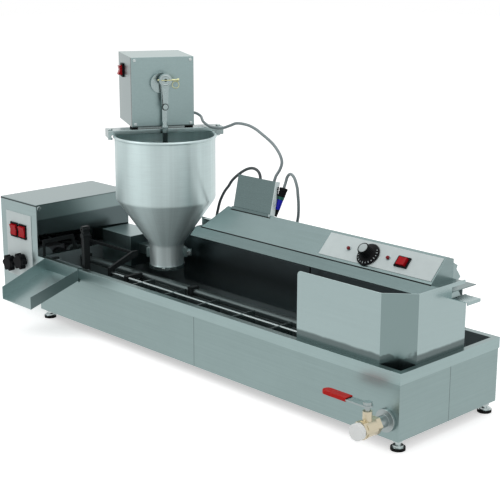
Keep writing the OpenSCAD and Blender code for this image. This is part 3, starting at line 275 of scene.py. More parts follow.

# %% [markdown]
# ## The steels of this machine
# The clean sheets come first, then the spun hopper, then the darker metals, and last the rods, screws
# and fittings. The hopper's axis is the middle of its box, because it is a turned piece.

# %% Steels
hopper_low, hopper_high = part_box("hopper")
hopper_axis = (hopper_low + hopper_high) / 2
# Painted shade and painted light: casing to mixer_face are one steel, each at its sheet's tone in the
# light.
casing = steel("casing_steel", (0.285, 0.375, 0.372), 0.34)
rim_sheet = steel("rim_steel", (0.345, 0.45, 0.447), 0.30)
box_sheet = steel("drive_box_steel", (0.34, 0.43, 0.43), 0.30)
lid_sheet = steel("drive_lid_steel", (0.27, 0.35, 0.35), 0.30)
chute_sheet = steel("chute_steel", (0.32, 0.41, 0.41), 0.30)
guard_sheet = steel("guard_steel", (0.376, 0.474, 0.474), 0.24, 0.12, drift=0.1)
head_sheet = steel("head_steel", (0.25, 0.33, 0.33), 0.26, 0.12)
fascia_sheet = steel("fascia_steel", (0.18, 0.245, 0.245), 0.26, 0.12)
shield_sheet = steel("shield_steel", (0.14, 0.195, 0.195), 0.28)
mixer_sheet = steel("mixer_steel", (0.39, 0.49, 0.48), 0.32)
mixer_face = steel("mixer_face_steel", (0.295, 0.388, 0.388), 0.32)
turned = steel("turned_steel", (0.36, 0.44, 0.44), 0.26, 0.14)
spun = steel("spun_steel", (0.64, 0.765, 0.765), 0.44, 0.14, metal=0.8, spun_at=hopper_axis, bump=0.06)
tank_dark = steel("tank_dark_steel", (0.17, 0.21, 0.217), 0.40, 0.3, metal=0.3, drift=0.35)
lane_strip = steel("lane_strip_steel", (0.12, 0.15, 0.15), 0.34, 0.3, metal=0.8, drift=0.5)
back_sheet = steel("back_sheet", (0.33, 0.42, 0.42), 0.34, drift=0.3)
support_sheet = steel("support_sheet", (0.27, 0.36, 0.36), 0.30, drift=0.3)
rod_steel = steel("rod_steel", (0.40, 0.46, 0.46), 0.26)
dark_iron = steel("dark_iron", (0.020, 0.024, 0.025), 0.46, 0.25, metal=0.4, drift=0.35, shine=0.1)
plunger_steel = steel("plunger_steel", (0.36, 0.44, 0.44), 0.24, 0.14)
screw_steel = steel("screw_steel", (0.50, 0.56, 0.56), 0.24)
pipe_steel = steel("pipe_steel", (0.36, 0.41, 0.41), 0.32)
brass = steel("aged_brass", (0.62, 0.56, 0.42), 0.34, 0.3)
wire = steel("plated_wire", (0.56, 0.57, 0.34), 0.30)
print("steel finishes:", len(PAINT))

# %% [markdown]
# ## Masks
# A mask is a value from 0 to 1 that says where a second colour lies. It could be painted by hand on an
# image, but that needs a UV map. These are worked out on the object's own coordinates: a soft band
# between two places of the drawing, or the faces that look one way. overlay() lays a colour over the
# finish by a mask, and a share below 1 lets some of the finish show through.

# %% Mask helpers
UNDER_ALL = -50


def coordinate(material, kind, axis):
    place = PAINT[material.name][1]
    return add(material.node_tree, "SeparateXYZ", {0: place.outputs[kind]}).outputs[axis]


def band(tree, value, low, high, soft):
    rise = add(tree, "MapRange", {"Value": value, "From Min": low - soft, "From Max": low + soft},
               interpolation_type="SMOOTHSTEP")
    fall = add(tree, "MapRange", {"Value": value, "From Min": high - soft, "From Max": high + soft,
                                  "To Min": 1.0, "To Max": 0.0}, interpolation_type="SMOOTHSTEP")
    return calc(tree, "MULTIPLY", rise.outputs[0], fall.outputs[0])


def between(material, axis, low, high, soft):
    start, stop = [CORNER["XYZ".index(axis)] + edge * MM for edge in (low, high)]
    return band(material.node_tree, coordinate(material, "Object", axis), start, stop, soft * MM)


def facing(material, axis):
    return calc(material.node_tree, "GREATER_THAN", coordinate(material, "Normal", axis), FACE_ON)


def both(material, first, second):
    return calc(material.node_tree, "MULTIPLY", first, second)


def overlay(material, mask, colour, share=1.0):
    tree = material.node_tree
    base = PAINT[material.name][0].inputs["Base Color"]
    if share < 1:
        mask = calc(tree, "MULTIPLY", mask, share)
    tree.links.new(blend_colour(tree, mask, base.links[0].from_socket, (*colour, 1)), base)


print("mask helpers ready")

# %% [markdown]
# ## Seams and rim
# The casing is folded from two sheets, so a fine dark seam runs down its front and one down its right
# end. A groove could be cut for them, but they are only a millimetre wide, and a dark band shows the
# same. The flat top of the rim is painted darker than its edges as a painted reflection of the guard
# standing behind it, and its upward normal picks it out.

# %% Seams and rim
SEAM_COLOUR = (0.05, 0.065, 0.065)
SEAM_HALF = 0.6
FRONT_SEAM_X, END_SEAM_Y = -507, 136
for axis, middle in (("X", FRONT_SEAM_X), ("Y", END_SEAM_Y)):
    seam = between(casing, axis, middle - SEAM_HALF, middle + SEAM_HALF, 0.4)
    overlay(casing, seam, SEAM_COLOUR, 0.75)
# Painted reflection: the rim's upward faces are painted darker.
overlay(rim_sheet, facing(rim_sheet, "Z"), (0.265, 0.35, 0.347))
print("seams laid on", casing.name, "and rim top on", rim_sheet.name)

# %% [markdown]
# ## Drive box, lid and chute
# The lid slips over the drive box, and a near-black band is painted on the box along the lid's edge as
# painted shade in the gap. The lid's right wall is painted darker as painted shade, apart from a strip
# below the fold that is painted lighter as a painted sheen, and the chute's outer wall is painted darker
# as painted shade too. Each is a mask of one band and one direction: a second material would need the
# wall to be cut at the strip.

# %% Drive box, lid and chute
LID_SHADE_HEIGHT = 4.2
STRIP_LOW, STRIP_HIGH = 34, 2
lid_top = (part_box("drive_box_lid")[1].z - CORNER.z) / MM
# Painted shade: a near-black band on the box just below the lid's top stands for the shade in the gap.
lid_gap_shade = between(box_sheet, "Z", lid_top - LID_SHADE_HEIGHT, lid_top, 0.4)
overlay(box_sheet, lid_gap_shade, (0.02, 0.025, 0.025), 0.9)
# Painted shade on the lid's right wall, with a painted sheen in a lighter strip below its fold.
side = facing(lid_sheet, "X")
sheen_strip = between(lid_sheet, "Z", lid_top - STRIP_LOW, lid_top - STRIP_HIGH, 2)
overlay(lid_sheet, side, (0.105, 0.138, 0.141))
overlay(lid_sheet, both(lid_sheet, side, sheen_strip), (0.235, 0.305, 0.305))

# Painted shade: the faces of the chute's right half that look along X are painted darker.
chute_low, chute_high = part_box("outlet_chute")
chute_middle = (chute_low.x + chute_high.x) / 2
chute_x = coordinate(chute_sheet, "Object", "X")
right_half = calc(chute_sheet.node_tree, "GREATER_THAN", chute_x, chute_middle)
overlay(chute_sheet, both(chute_sheet, right_half, facing(chute_sheet, "X")), (0.135, 0.182, 0.182))
print("lid top at", round(lid_top, 1), "mm")

# %% [markdown]
# ## Guard
# The splash guard is darker low down, where it dips into the tank, and its bevelled panel is painted
# darker than its neighbours as painted shade. The bevel is the one face that looks along both X and Y,
# so their product picks it out. The dark band low down has no straight edge: a noise lifts its edge up
# and down, and more so on the bevel.

# %% Guard
GUARD_BAND_LOW, GUARD_BAND_HIGH = 90, 136
CALM_WAVE, BEVEL_WAVE = 4 * MM, 30 * MM
tree = guard_sheet.node_tree
guard_place = PAINT[guard_sheet.name][1].outputs["Object"]
# Painted shade: the bevelled panel is painted darker than the rest of the guard.
slant = both(guard_sheet, coordinate(guard_sheet, "Normal", "X"), coordinate(guard_sheet, "Normal", "Y"))
bevel = calc(tree, "GREATER_THAN", calc(tree, "ABSOLUTE", slant), 0.3)
overlay(guard_sheet, bevel, (0.235, 0.315, 0.312))
waves = calc(tree, "SUBTRACT", noise(tree, guard_place, 45.0), 0.5)
reach = calc(tree, "ADD", calc(tree, "MULTIPLY", bevel, BEVEL_WAVE), CALM_WAVE)
lift = calc(tree, "MULTIPLY", waves, reach)
band_height = calc(tree, "ADD", coordinate(guard_sheet, "Object", "Z"), lift)
# A darker band on the guard between 90 and 136 mm, with wavy edges.
low_dark_band = band(tree, band_height, at(0, 0, GUARD_BAND_LOW).z, at(0, 0, GUARD_BAND_HIGH).z, 2.5 * MM)
overlay(guard_sheet, low_dark_band, (0.075, 0.10, 0.10), 0.8)
print("stain laid on", guard_sheet.name)

# %% [markdown]
# ## Back panel, support and shield
# The back panel hangs behind the oil. It is painted dark below the head as painted shade, and painted
# paler again low down as a painted sheen. The hopper's support is painted dark on the side that looks
# along the tank, as painted shade. The shield's folded flange is given a brighter colour. These are
# plain bands and directions too.

# %% Back panel, support and shield
SHADE_TOP, SHEEN_TOP = 186, 98
FLANGE_LEFT, FLANGE_RIGHT = -493.2, -480
# Painted shade below the head, then a painted sheen low down.
overlay(back_sheet, between(back_sheet, "Z", UNDER_ALL, SHADE_TOP, 6), (0.105, 0.127, 0.137), 0.92)
overlay(back_sheet, between(back_sheet, "Z", UNDER_ALL, SHEEN_TOP, 22), (0.30, 0.37, 0.39), 0.9)
# Painted shade on the support's faces that look along X.
overlay(support_sheet, facing(support_sheet, "X"), (0.075, 0.098, 0.10))
# The flange gets a brighter colour by its place along X.
flange = between(shield_sheet, "X", FLANGE_LEFT, FLANGE_RIGHT, 0.4)
overlay(shield_sheet, flange, (0.50, 0.57, 0.57))
print("stains laid on", back_sheet.name, support_sheet.name, shield_sheet.name)

# %% [markdown]
# ## Mixer box
# The mixer box stands turned on the hopper. Its front is a plate of its own, and a thin dark band of
# painted shade runs down the left side behind that plate, with a dark line of painted shadow along the
# plate's foot. The side is painted darker than the top as painted shade. No axis of the machine fits a
# turned box, so a dot product with the box's own directions gives the masks.

# %% Mixer box
HOPPER_X, HOPPER_Y = -809, 190
MIXER_TURN = 62
PLATE_DEPTH = 17.5
FOOT_LOW, FOOT_HIGH = 400, 411
GAP_SHADE_COLOUR = (0.055, 0.07, 0.07)
mixer_angle = math.radians(MIXER_TURN)
outward = (-math.cos(mixer_angle), -math.sin(mixer_angle), 0)
inward = Vector((-math.sin(mixer_angle), math.cos(mixer_angle), 0))
tree = mixer_sheet.node_tree
mixer_place = PAINT[mixer_sheet.name][1].outputs
# Painted shade: the box's side is painted darker than its top.
looks = add(tree, "VectorMath", {0: mixer_place["Normal"], 1: outward}, operation="DOT_PRODUCT")
side = calc(tree, "GREATER_THAN", looks.outputs["Value"], FACE_ON)
overlay(mixer_sheet, side, (0.262, 0.334, 0.334))
# Painted shade in the gap behind the front plate.
depth = add(tree, "VectorMath", {0: mixer_place["Object"], 1: inward}, operation="DOT_PRODUCT")
plate_back = at(HOPPER_X, HOPPER_Y, 0).dot(inward) + PLATE_DEPTH * MM
joint_shade = band(tree, depth.outputs["Value"], plate_back - 2 * MM, plate_back + 7.5 * MM, 0.4 * MM)
overlay(mixer_sheet, both(mixer_sheet, side, joint_shade), GAP_SHADE_COLOUR)
# Painted shadow: a dark line along the front plate's foot.
overlay(mixer_face, between(mixer_face, "Z", FOOT_LOW, FOOT_HIGH, 0.4), GAP_SHADE_COLOUR, 0.85)
print("joint laid on", mixer_sheet.name, "and", mixer_face.name)

# %% [markdown]
# ## Plunger and hopper
# The plunger is darker below the cross bar. The hopper's collar is painted lighter as a painted
# highlight, and faint streaks of painted reflection run up and down its wall. For these the place is
# made flat and its length one, which leaves only the direction from the axis: a noise on that is the
# same at every height.

# %% Plunger and hopper
PLUNGER_DARK_TOP = 398
COLLAR_TOP, CONE_LOW, CONE_TOP = 158, 160, 256
# The plunger is darker below the cross bar.
lower_plunger = between(plunger_steel, "Z", UNDER_ALL, PLUNGER_DARK_TOP, 1)
overlay(plunger_steel, lower_plunger, (0.055, 0.066, 0.067), 0.9)
# Painted highlight: the collar below the cone is painted lighter.
overlay(spun, between(spun, "Z", UNDER_ALL, COLLAR_TOP, 0.8), (0.80, 0.90, 0.90), 0.8)

# Painted reflection: faint streaks up and down the hopper's wall.
tree = spun.node_tree
sockets = {"Vector": PAINT[spun.name][1].outputs["Object"], "Scale": (1, 1, 0),
           "Location": (-hopper_axis.x, -hopper_axis.y, 0)}
from_axis = add(tree, "Mapping", sockets)
around = add(tree, "VectorMath", {0: from_axis.outputs[0]}, operation="NORMALIZE")
streak_noise = noise(tree, around.outputs["Vector"], 3.4, 4.0, 0.6)
painted_streaks = add(tree, "MapRange", {"Value": streak_noise, "From Min": 0.42, "From Max": 0.64})
cone = between(spun, "Z", CONE_LOW, CONE_TOP, 2)
streak_share = calc(tree, "ADD", calc(tree, "MULTIPLY", cone, 0.1), 0.27)
overlay(spun, both(spun, painted_streaks.outputs[0], streak_share), (0.34, 0.42, 0.42))
print("streaks laid on", spun.name)

# %% [markdown]
# ## Moulded grain
# Knobs, switches and cable sheaths are moulded: their skin has a fine pebble, a little colour drift and
# finger polish. Real pebbles would take millions of faces, so a bump does it. A second group makes all
# three from two noises, and each plastic sets its own colours and gloss.

# %% Moulded grain group
pebble, p_in, p_out = new_group(
    "moulded_grain",
    [("Place", "Vector"), ("Light", "Color"), ("Dark", "Color"), ("Gloss", "Float")],
    [("Color", "Color"), ("Roughness", "Float"), ("Height", "Float")],
)
clouds = noise(pebble, p_in["Place"], 60.0, 3.0)
pebble.links.new(blend_colour(pebble, clouds, p_in["Dark"], p_in["Light"]), p_out["Color"])
shift = calc(pebble, "MULTIPLY", calc(pebble, "SUBTRACT", clouds, 0.5), 0.3)
pebble.links.new(calc(pebble, "ADD", shift, p_in["Gloss"]), p_out["Roughness"])
pebble.links.new(noise(pebble, p_in["Place"], 1400.0), p_out["Height"])
print("group:", pebble.name)

# %% [markdown]
# ## Plastics, rubber and enamel
# Black knobs, red switches and lamps, a red vinyl sleeve on the valve's lever, pale plates and grey
# cable sheaths. Each row gives a light and a dark colour, the gloss, the depth of the pebble and the
# shine. Black and red keep little shine, because white reflections from the studio would wash them out.

# %% Moulded finishes
def moulded(name, light, dark, gloss, bump=0.15, shine=0.5):
    material, tree, skin, place = new_material(name)
    sockets = {"Place": place.outputs["Object"], "Light": (*light, 1), "Dark": (*dark, 1), "Gloss": gloss}
    finish = add(tree, "Group", sockets, node_tree=pebble)
    skin.inputs["Specular IOR Level"].default_value = shine
    join_finish(tree, skin, finish, bump, 0.3)
    return material


black = moulded("black_plastic", (0.010, 0.011, 0.012), (0.005, 0.005, 0.006), 0.45, shine=0.05)
red = moulded("red_plastic", (0.46, 0.008, 0.014), (0.28, 0.003, 0.007), 0.22, 0.03, shine=0.1)
lamp_red = moulded("lamp_red", (0.24, 0.006, 0.012), (0.15, 0.003, 0.007), 0.14, 0.02, shine=0.2)
vinyl = moulded("red_vinyl", (0.50, 0.016, 0.012), (0.36, 0.008, 0.006), 0.40, 0.08, shine=0.1)
white = moulded("white_plastic", (0.80, 0.82, 0.81), (0.70, 0.72, 0.71), 0.40, 0.05)
cap_grey = moulded("cap_grey", (0.47, 0.53, 0.53), (0.40, 0.46, 0.46), 0.40, 0.05, shine=0.2)
plate = moulded("printed_plate", (0.58, 0.65, 0.65), (0.51, 0.58, 0.58), 0.40, 0.03, shine=0.3)
rubber = moulded("black_rubber", (0.014, 0.015, 0.015), (0.008, 0.008, 0.008), 0.62, shine=0.05)
grey_sheath = moulded("grey_sheath", (0.26, 0.31, 0.32), (0.20, 0.24, 0.25), 0.42, 0.05, shine=0.3)
dark_sheath = moulded("dark_sheath", (0.075, 0.09, 0.095), (0.055, 0.065, 0.07), 0.42, 0.05, shine=0.3)
blue = moulded("blue_plastic", (0.010, 0.014, 0.50), (0.006, 0.008, 0.36), 0.35, 0.03, shine=0.25)
green = moulded("green_plastic", (0.02, 0.13, 0.10), (0.012, 0.09, 0.07), 0.38, 0.03, shine=0.3)
board = moulded("board_green", (0.05, 0.20, 0.09), (0.03, 0.14, 0.06), 0.4, 0.05)
enamel = moulded("motor_enamel", (0.10, 0.11, 0.12), (0.07, 0.075, 0.08), 0.4)
print("all finishes:", len(PAINT))

# %% [markdown]
# ## Turned pieces
# Many small parts are round: lamps, rings, the dial and the plug. Each is one outline of its wall, spun
# round its axis. An outline that starts on the axis makes a solid with a closed pole; one that starts
# off it is closed into a ring. A matrix then puts the piece in its place, so the object itself stays at
# the origin.

# %% Piece helpers
def finish_piece(bm, name, body, materials, smooth=35):
    mesh = bpy.data.meshes.new(name)
    bm.to_mesh(mesh)
    bm.free()
    mesh.shade_smooth()
    mesh.set_sharp_from_angle(angle=math.radians(smooth))
    for material in materials:
        mesh.materials.append(material)
    piece = new_object(name, mesh)
    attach(piece, body)
    return piece


def lathe(name, profile, place, body, materials, steps=96, smooth=35, shape=None, pick=None):
    bm = bmesh.new()
    verts = [bm.verts.new(Vector((r, 0, z)) * MM) for r, z in profile]
    edges = [bm.edges.new(pair) for pair in zip(verts, verts[1:])]
    if profile[0][0] > 0:
        edges.append(bm.edges.new((verts[-1], verts[0])))
    bmesh.ops.spin(bm, geom=verts + edges, cent=(0, 0, 0), axis=(0, 0, 1), angle=math.tau,
                   steps=steps, use_merge=True)
    bmesh.ops.remove_doubles(bm, verts=bm.verts, dist=1e-6)
    bmesh.ops.dissolve_degenerate(bm, dist=1e-7, edges=bm.edges)
    bmesh.ops.recalc_face_normals(bm, faces=bm.faces)
    if shape:
        for vert in bm.verts:
            shape(vert)
    if pick:
        for face in bm.faces:
            face.material_index = pick(face.calc_center_median() / MM)
    bmesh.ops.transform(bm, matrix=place, verts=bm.verts)
    return finish_piece(bm, name, body, materials, smooth)


def turned_to(x, y, z, *turns):
    place = Matrix.Translation(at(x, y, z))
    for degrees, axis in turns:
        place = place @ Matrix.Rotation(math.radians(degrees), 4, axis)
    return place


print("piece helpers ready")

# %% [markdown]
# ## Cables
# A cable is a sheath of one thickness along a route. A tube could be lofted from rings, but a curve
# with a round bevel is simpler and keeps its thickness in each bend. The route's points are joined by a
# smooth curve that passes through every one of them.

# %% Cable helper
CABLE_D = 0.006
STEPS = 8


def smooth_route(points):
    rail = [points[0]] + points + [points[-1]]
    path = []
    for a, b, c, d in zip(rail, rail[1:], rail[2:], rail[3:]):
        for k in range(STEPS):
            t = k / STEPS
            square = (2 * a - 5 * b + 4 * c - d) * t ** 2
            path.append(0.5 * (2 * b + (c - a) * t + square + (3 * b - a - 3 * c + d) * t ** 3))
    return path + [points[-1]]


def cable(name, route, node, material):
    path = smooth_route([at(*p) for p in route])
    line = bpy.data.curves.new(name, "CURVE")
    line.dimensions = "3D"
    line.bevel_depth = CABLE_D / 2
    line.bevel_resolution = 5
    line.use_fill_caps = True
    spline = line.splines.new("POLY")
    spline.points.add(len(path) - 1)
    for point, place in zip(spline.points, path):
        point.co = (*place, 1)
    line.materials.append(material)
    piece = new_object(name, line)
    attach(piece, "frame")
    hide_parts(node)


print("cable helper ready")

# %% [markdown]
# ## The mixer's cable and the head's cable
# One grey cable leaves the back of the mixer, hangs over the cross bar and goes into the connector
# shield. A darker one leaves the shield and dips to the back of the heater head. Each keeps the route
# of its CAD solid, so its points are those of the drawing.

# %% Mixer and head cables
mixer_route = [(-858, 300.2, 425), (-854.5, 306.8, 425), (-849, 312, 423.5), (-841, 314.5, 420.5),
               (-830.5, 312, 417), (-817.5, 303, 414), (-802.5, 292.5, 412), (-785, 283, 410.5),
               (-765, 273, 409.5), (-745, 264, 409.5), (-724.5, 256.5, 411), (-700, 254, 413),
               (-671, 250, 422), (-646, 246, 430), (-612, 242, 431), (-585, 238, 427),
               (-560, 234, 419), (-529, 228, 408), (-510, 224, 398), (-494, 220, 385),
               (-488, 218, 372), (-492, 216, 358), (-500, 214, 345), (-503, 212, 333),
               (-503, 209, 318.5)]
head_route = [(-541, 209, 318.5), (-541, 211.5, 330), (-544.5, 213, 342), (-553, 213.5, 349.5),
              (-567, 214, 351.5), (-587, 217, 346), (-609, 221, 335), (-631, 225, 321),
              (-643, 227, 311), (-654, 230, 300), (-666, 233, 290), (-677, 236, 279),
              (-694, 242, 259), (-707, 248, 238), (-714, 251, 224), (-714, 251, 214)]
cable("mixer_lead", mixer_route, "mixer_cable", grey_sheath)
cable("head_lead", head_route, "head_cable", dark_sheath)

# %% [markdown]
# ## Plug
# The third cable ends in a slim connector that tapers down to its socket beside the shield. It has a
# black grip, a green ring, a blue sleeve and a black tip. It is one turned piece whose faces take their
# colour from their height, and it belongs to the cable, so both are made together.

# %% Plug and its cable
TIP_TOP, SLEEVE_TOP, RING_TOP = 16, 36, 42
plug_profile = [(0, 1.5), (3.4, 1.5), (4.7, 15.8), (5.0, 16.2), (6.1, 35.8), (6.5, 36.2), (6.9, 41.6),
                (7.2, 42.2), (7.4, 46), (7.0, 47), (7.6, 48), (7.7, 52), (7.3, 53), (8.1, 54),
                (8.3, 58.4), (7.6, 59.8), (0, 59.9)]
plug_route = [(-487, 223.5, 321.6), (-485.7, 226.7, 332.2), (-482, 227, 343), (-474, 225, 350.5),
              (-464, 221.5, 352), (-454, 218.5, 347), (-448, 217.5, 337.5), (-445.5, 218.5, 327),
              (-446, 220.5, 316), (-449, 225, 304.5), (-451.5, 228.5, 294.5), (-454.5, 232, 284),
              (-458.5, 236, 274.5), (-463, 240, 265), (-468, 243.5, 255.5), (-473, 247, 246),
              (-477.5, 250, 236), (-480, 251, 225), (-480, 251, 214)]


def plug_colour(middle):
    if middle.z < TIP_TOP or middle.z > RING_TOP:
        return 0
    return 1 if middle.z > SLEEVE_TOP else 2


plug_place = turned_to(-494, 206, 264.6, (7, "Y"), (-17, "X"))
plug = lathe("plug", plug_profile, plug_place, "frame", [black, green, blue], pick=plug_colour)
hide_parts("cable_plug")
cable("plug_lead", plug_route, "plug_cable", grey_sheath)

# %% [markdown]
# ## Soft edges
# No folded or turned edge is perfectly sharp: a small round catches the light and makes a sheet look
# like metal. A Bevel modifier would work on clean meshes, but CAD nodes are loose triangles. So dress()
# copies a node, merges its triangles into clean faces and bevels the sharp edges. The weighted normals
# keep the large faces flat. Where one solid has two finishes, a small test on the drawing place of each
# face picks one.

# %% Edge helper
BODY = {node: body for body, members in frame["record"]["behaviour"]["bodies"].items() for node in members}


def node_copy(node):
    bm = bmesh.new()
    bm.from_mesh(nodes[node].data)
    bmesh.ops.remove_doubles(bm, verts=bm.verts, dist=2e-6)
    bmesh.ops.dissolve_limit(bm, angle_limit=math.radians(0.6), verts=bm.verts, edges=bm.edges)
    return bm


def soften(bm, edge, corner=28):
    sharp = [e for e in bm.edges if e.is_manifold and e.calc_face_angle() > math.radians(corner)]
    bmesh.ops.bevel(bm, geom=sharp, offset=edge * MM, offset_type="OFFSET", segments=2, profile=0.5,
                    affect="EDGES", clamp_overlap=True, material=-1)


def dress(node, materials, edge=0.4, pick=None):
    bm = node_copy(node)
    soften(bm, edge)
    if pick:
        for face in bm.faces:
            face.material_index = int(pick((face.calc_center_median() - CORNER) / MM))
    piece = finish_piece(bm, node + "_dressed", BODY[node], materials, 60)
    piece.modifiers.new("even", "WEIGHTED_NORMAL").keep_sharp = True
    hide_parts(node)


print("bodies:", len(set(BODY.values())))

# %% [markdown]
# ## Sheet metal and small parts
# Most pieces only need a finish and an edge, so a list is enough for them. It gives the edge's width in
# millimetres: half a millimetre on sheet, more on castings and plastics.

# %% Dress the pieces
DRESS = [
    (casing, 0.5, ["outer_shell"]),
    (box_sheet, 0.5, ["drive_box_body"]),
    (lid_sheet, 0.5, ["drive_box_lid"]),
    (chute_sheet, 0.5, ["outlet_chute"]),
    (mixer_sheet, 0.5, ["mixer_box"]),
    (mixer_face, 0.5, ["mixer_front"]),
    (guard_sheet, 0.45, ["splash_guard"]),
    (head_sheet, 0.45, ["head_body"]),
    (fascia_sheet, 0.45, ["head_base"]),
    (shield_sheet, 0.45, ["connector_shield"]),
    (turned, 0.8, ["nozzle", "crank_disc", "connecting_rod", "cross_bar"]),
    (plunger_steel, 0.8, ["plunger"]),
    (lane_strip, 0.4, ["lane_divider"]),
    (tank_dark, 0.4, ["ejector", "heating_element"]),
    (dark_iron, 0.4, ["pusher_link", "thermostat", "shaft_bearings", "idler_gear", "drive_disc"]),
    (back_sheet, 0.5, ["back_panel"]),
    (support_sheet, 0.5, ["hopper_support"]),
    (pipe_steel, 0.6, ["drain_pipe", "valve_lever"]),
    (screw_steel, 0.8, ["bolts"]),
    (brass, 0.6, ["valve_body"]),
    (wire, 0.3, ["quick_release_pin"]),
    (black, 0.5, ["switch_bodies", "cable_glands"]),
    (black, 0.8, ["conveyor_speed_knob", "turnover_speed_knob"]),
    (red, 0.6, ["conveyor_rocker", "turnover_rocker", "heater_rocker", "mixer_rocker"]),
    (plate, 0.25, ["control_plate", "head_panel"]),
    (vinyl, 1.6, ["lever_sleeve"]),
    (white, 1.2, ["outlet_cap"]),
    (rubber, 0.6, ["rubber_pads"]),
]
for material, edge, names in DRESS:
    for name in names:
        dress(name, [material], edge)
print("dressed:", sum(len(names) for _, _, names in DRESS))

# %% [markdown]
# ## Inner pieces
# The motors, the control board and the speed controls sit inside the boxes, and the base plate under
# the casing. Nobody looks at their edges, so they keep their CAD solid, and only its material slot is
# filled.

# %% Inner pieces
INNER = [
    (enamel, ["drive_motor", "turn_motor", "mixer_motor"]),
    (board, ["control_board"]),
    (dark_iron, ["base_plate", "speed_controls"]),
]
for material, names in INNER:
    for name in names:
        nodes[name].data.materials.clear()
        nodes[name].data.materials.append(material)
print("inner pieces:", sum(len(names) for _, names in INNER))

# %% [markdown]
# ## Pieces with two finishes
# The rim is clean steel, and below it the walls and floor of the tank are darker. The pusher's rods
# stay bright where the paddles on them are dark, and the flipper's shaft takes the lane divider's steel.
# The feet are screws with rubber soles. Each is one solid, so its faces are told apart by where they lie
# on the drawing.

# %% Tank, pusher, flipper and feet
TANK_LEFT, TANK_RIGHT, TANK_FRONT, TANK_BACK = -1012.5, -9.5, 12, 263
RIM_UNDERSIDE = 119
ROD_Z, ROD_REACH = 105, 4
SHAFT_Y, SHAFT_Z, SHAFT_REACH = 112, 101, 8
SOLE_TOP = -14


def in_tank(p):
    return TANK_LEFT < p.x < TANK_RIGHT and TANK_FRONT < p.y < TANK_BACK and p.z < RIM_UNDERSIDE


def on_rod(p):
    return abs(p.z - ROD_Z) < ROD_REACH


def on_shaft(p):
    return abs(p.y - SHAFT_Y) < SHAFT_REACH and abs(p.z - SHAFT_Z) < SHAFT_REACH


def on_sole(p):
    return p.z < SOLE_TOP


# The tank's inside walls and floor take the darker steel.
dress("oil_tank", [rim_sheet, tank_dark], 0.6, in_tank)
dress("pusher_rod", [dark_iron, rod_steel], 0.3, on_rod)
dress("flipper", [tank_dark, lane_strip], 0.4, on_shaft)
dress("levelling_feet", [screw_steel, rubber], 0.8, on_sole)
print("tank, pusher, flipper and feet dressed")

# %% [markdown]
# ## Hopper
# The hopper is spun from one sheet: a neck, a cone, a cylinder and a rolled rim. Joining a cylinder and
# a cone would leave sharp folds. So one closed outline of the wall is spun round the axis, with small
# rounds where a spinner's tool turns the sheet and a bead at the top.

# %% Hopper
WALL_R = 107
BEAD_R, BEAD_Z = 3, 391
bead_angles = [math.radians(a) for a in range(20, 321, 20)]
bead = [(WALL_R + BEAD_R * math.sin(a), BEAD_Z - BEAD_R * math.cos(a)) for a in bead_angles]
wall = [(35.5, 108), (37, 108), (37, 154), (37.7, 156), (38.6, 158), (38.8, 160.6)]
wall += [(104.6, 254.6), (106.2, 257.6), (WALL_R, 261), (WALL_R, 387.6)] + bead
wall += [(105.5, 387.6), (105.5, 261), (104.9, 258), (103.4, 255.2), (37.2, 160.4), (35.7, 157)]
hopper = lathe("hopper_spun", wall, turned_to(HOPPER_X, HOPPER_Y, 0), "frame", [spun], steps=144)
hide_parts("hopper")
print("hopper faces:", len(hopper.data.polygons))

# %% [markdown]
# ## Thermostat knob
# The knob has a cone skirt and a fluted grip. It sits on the sloped panel, so one helper gives a place
# on it: along the machine, up the slope, and outwards along the turning axis. The knob is spun as a
# plain round, and the flutes come from pulling the grip's points towards the axis in a cosine wave.
# Cutting twenty grooves would leave sharp edges.

# %% Thermostat knob
PANEL_Y, PANEL_Z, PANEL_SLOPE = 147.5, 227, 45
FLUTES, FLUTE_DEPTH = 20, 0.05


def on_panel(x, up_slope):
    rise = up_slope * math.sqrt(0.5)
    return turned_to(x, PANEL_Y + rise, PANEL_Z + rise, (PANEL_SLOPE, "X"))


def flute(vert):
    height, reach = vert.co.z / MM, vert.co.xy.length / MM
    if 9.5 < height < 23 and reach > 10.5:
        angle = math.atan2(vert.co.y, vert.co.x)
        vert.co.xy *= 1 - FLUTE_DEPTH * (0.5 + 0.5 * math.cos(FLUTES * angle))


dial_place = on_panel(-216, 28)
knob_profile = [(0, 1.7), (22.4, 1.7), (23, 2.3), (23, 3.4), (22.5, 4.1), (15.6, 6.6), (13.0, 8.4),
                (12.4, 10), (11.9, 16), (11.5, 22.4), (11.0, 24.0), (10.2, 24.7), (9.2, 24.7),
                (9.0, 24.0), (0, 24.0)]
knob = lathe("thermostat_knob_turned", knob_profile, dial_place, "thermostat_dial", [black],
             steps=160, shape=flute)
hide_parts("thermostat_knob")
print("knob faces:", len(knob.data.polygons))

# %% [markdown]
# ## Cap and dial marks
# A pale cap closes the grip, and plain pale marks lie round the skirt, long and short in turn. They
# could be a mask on the skirt, but small flat ovals stay sharp up close. Each oval is a stretched
# circle, tilted to the skirt's slope and turned round the axis to its place.

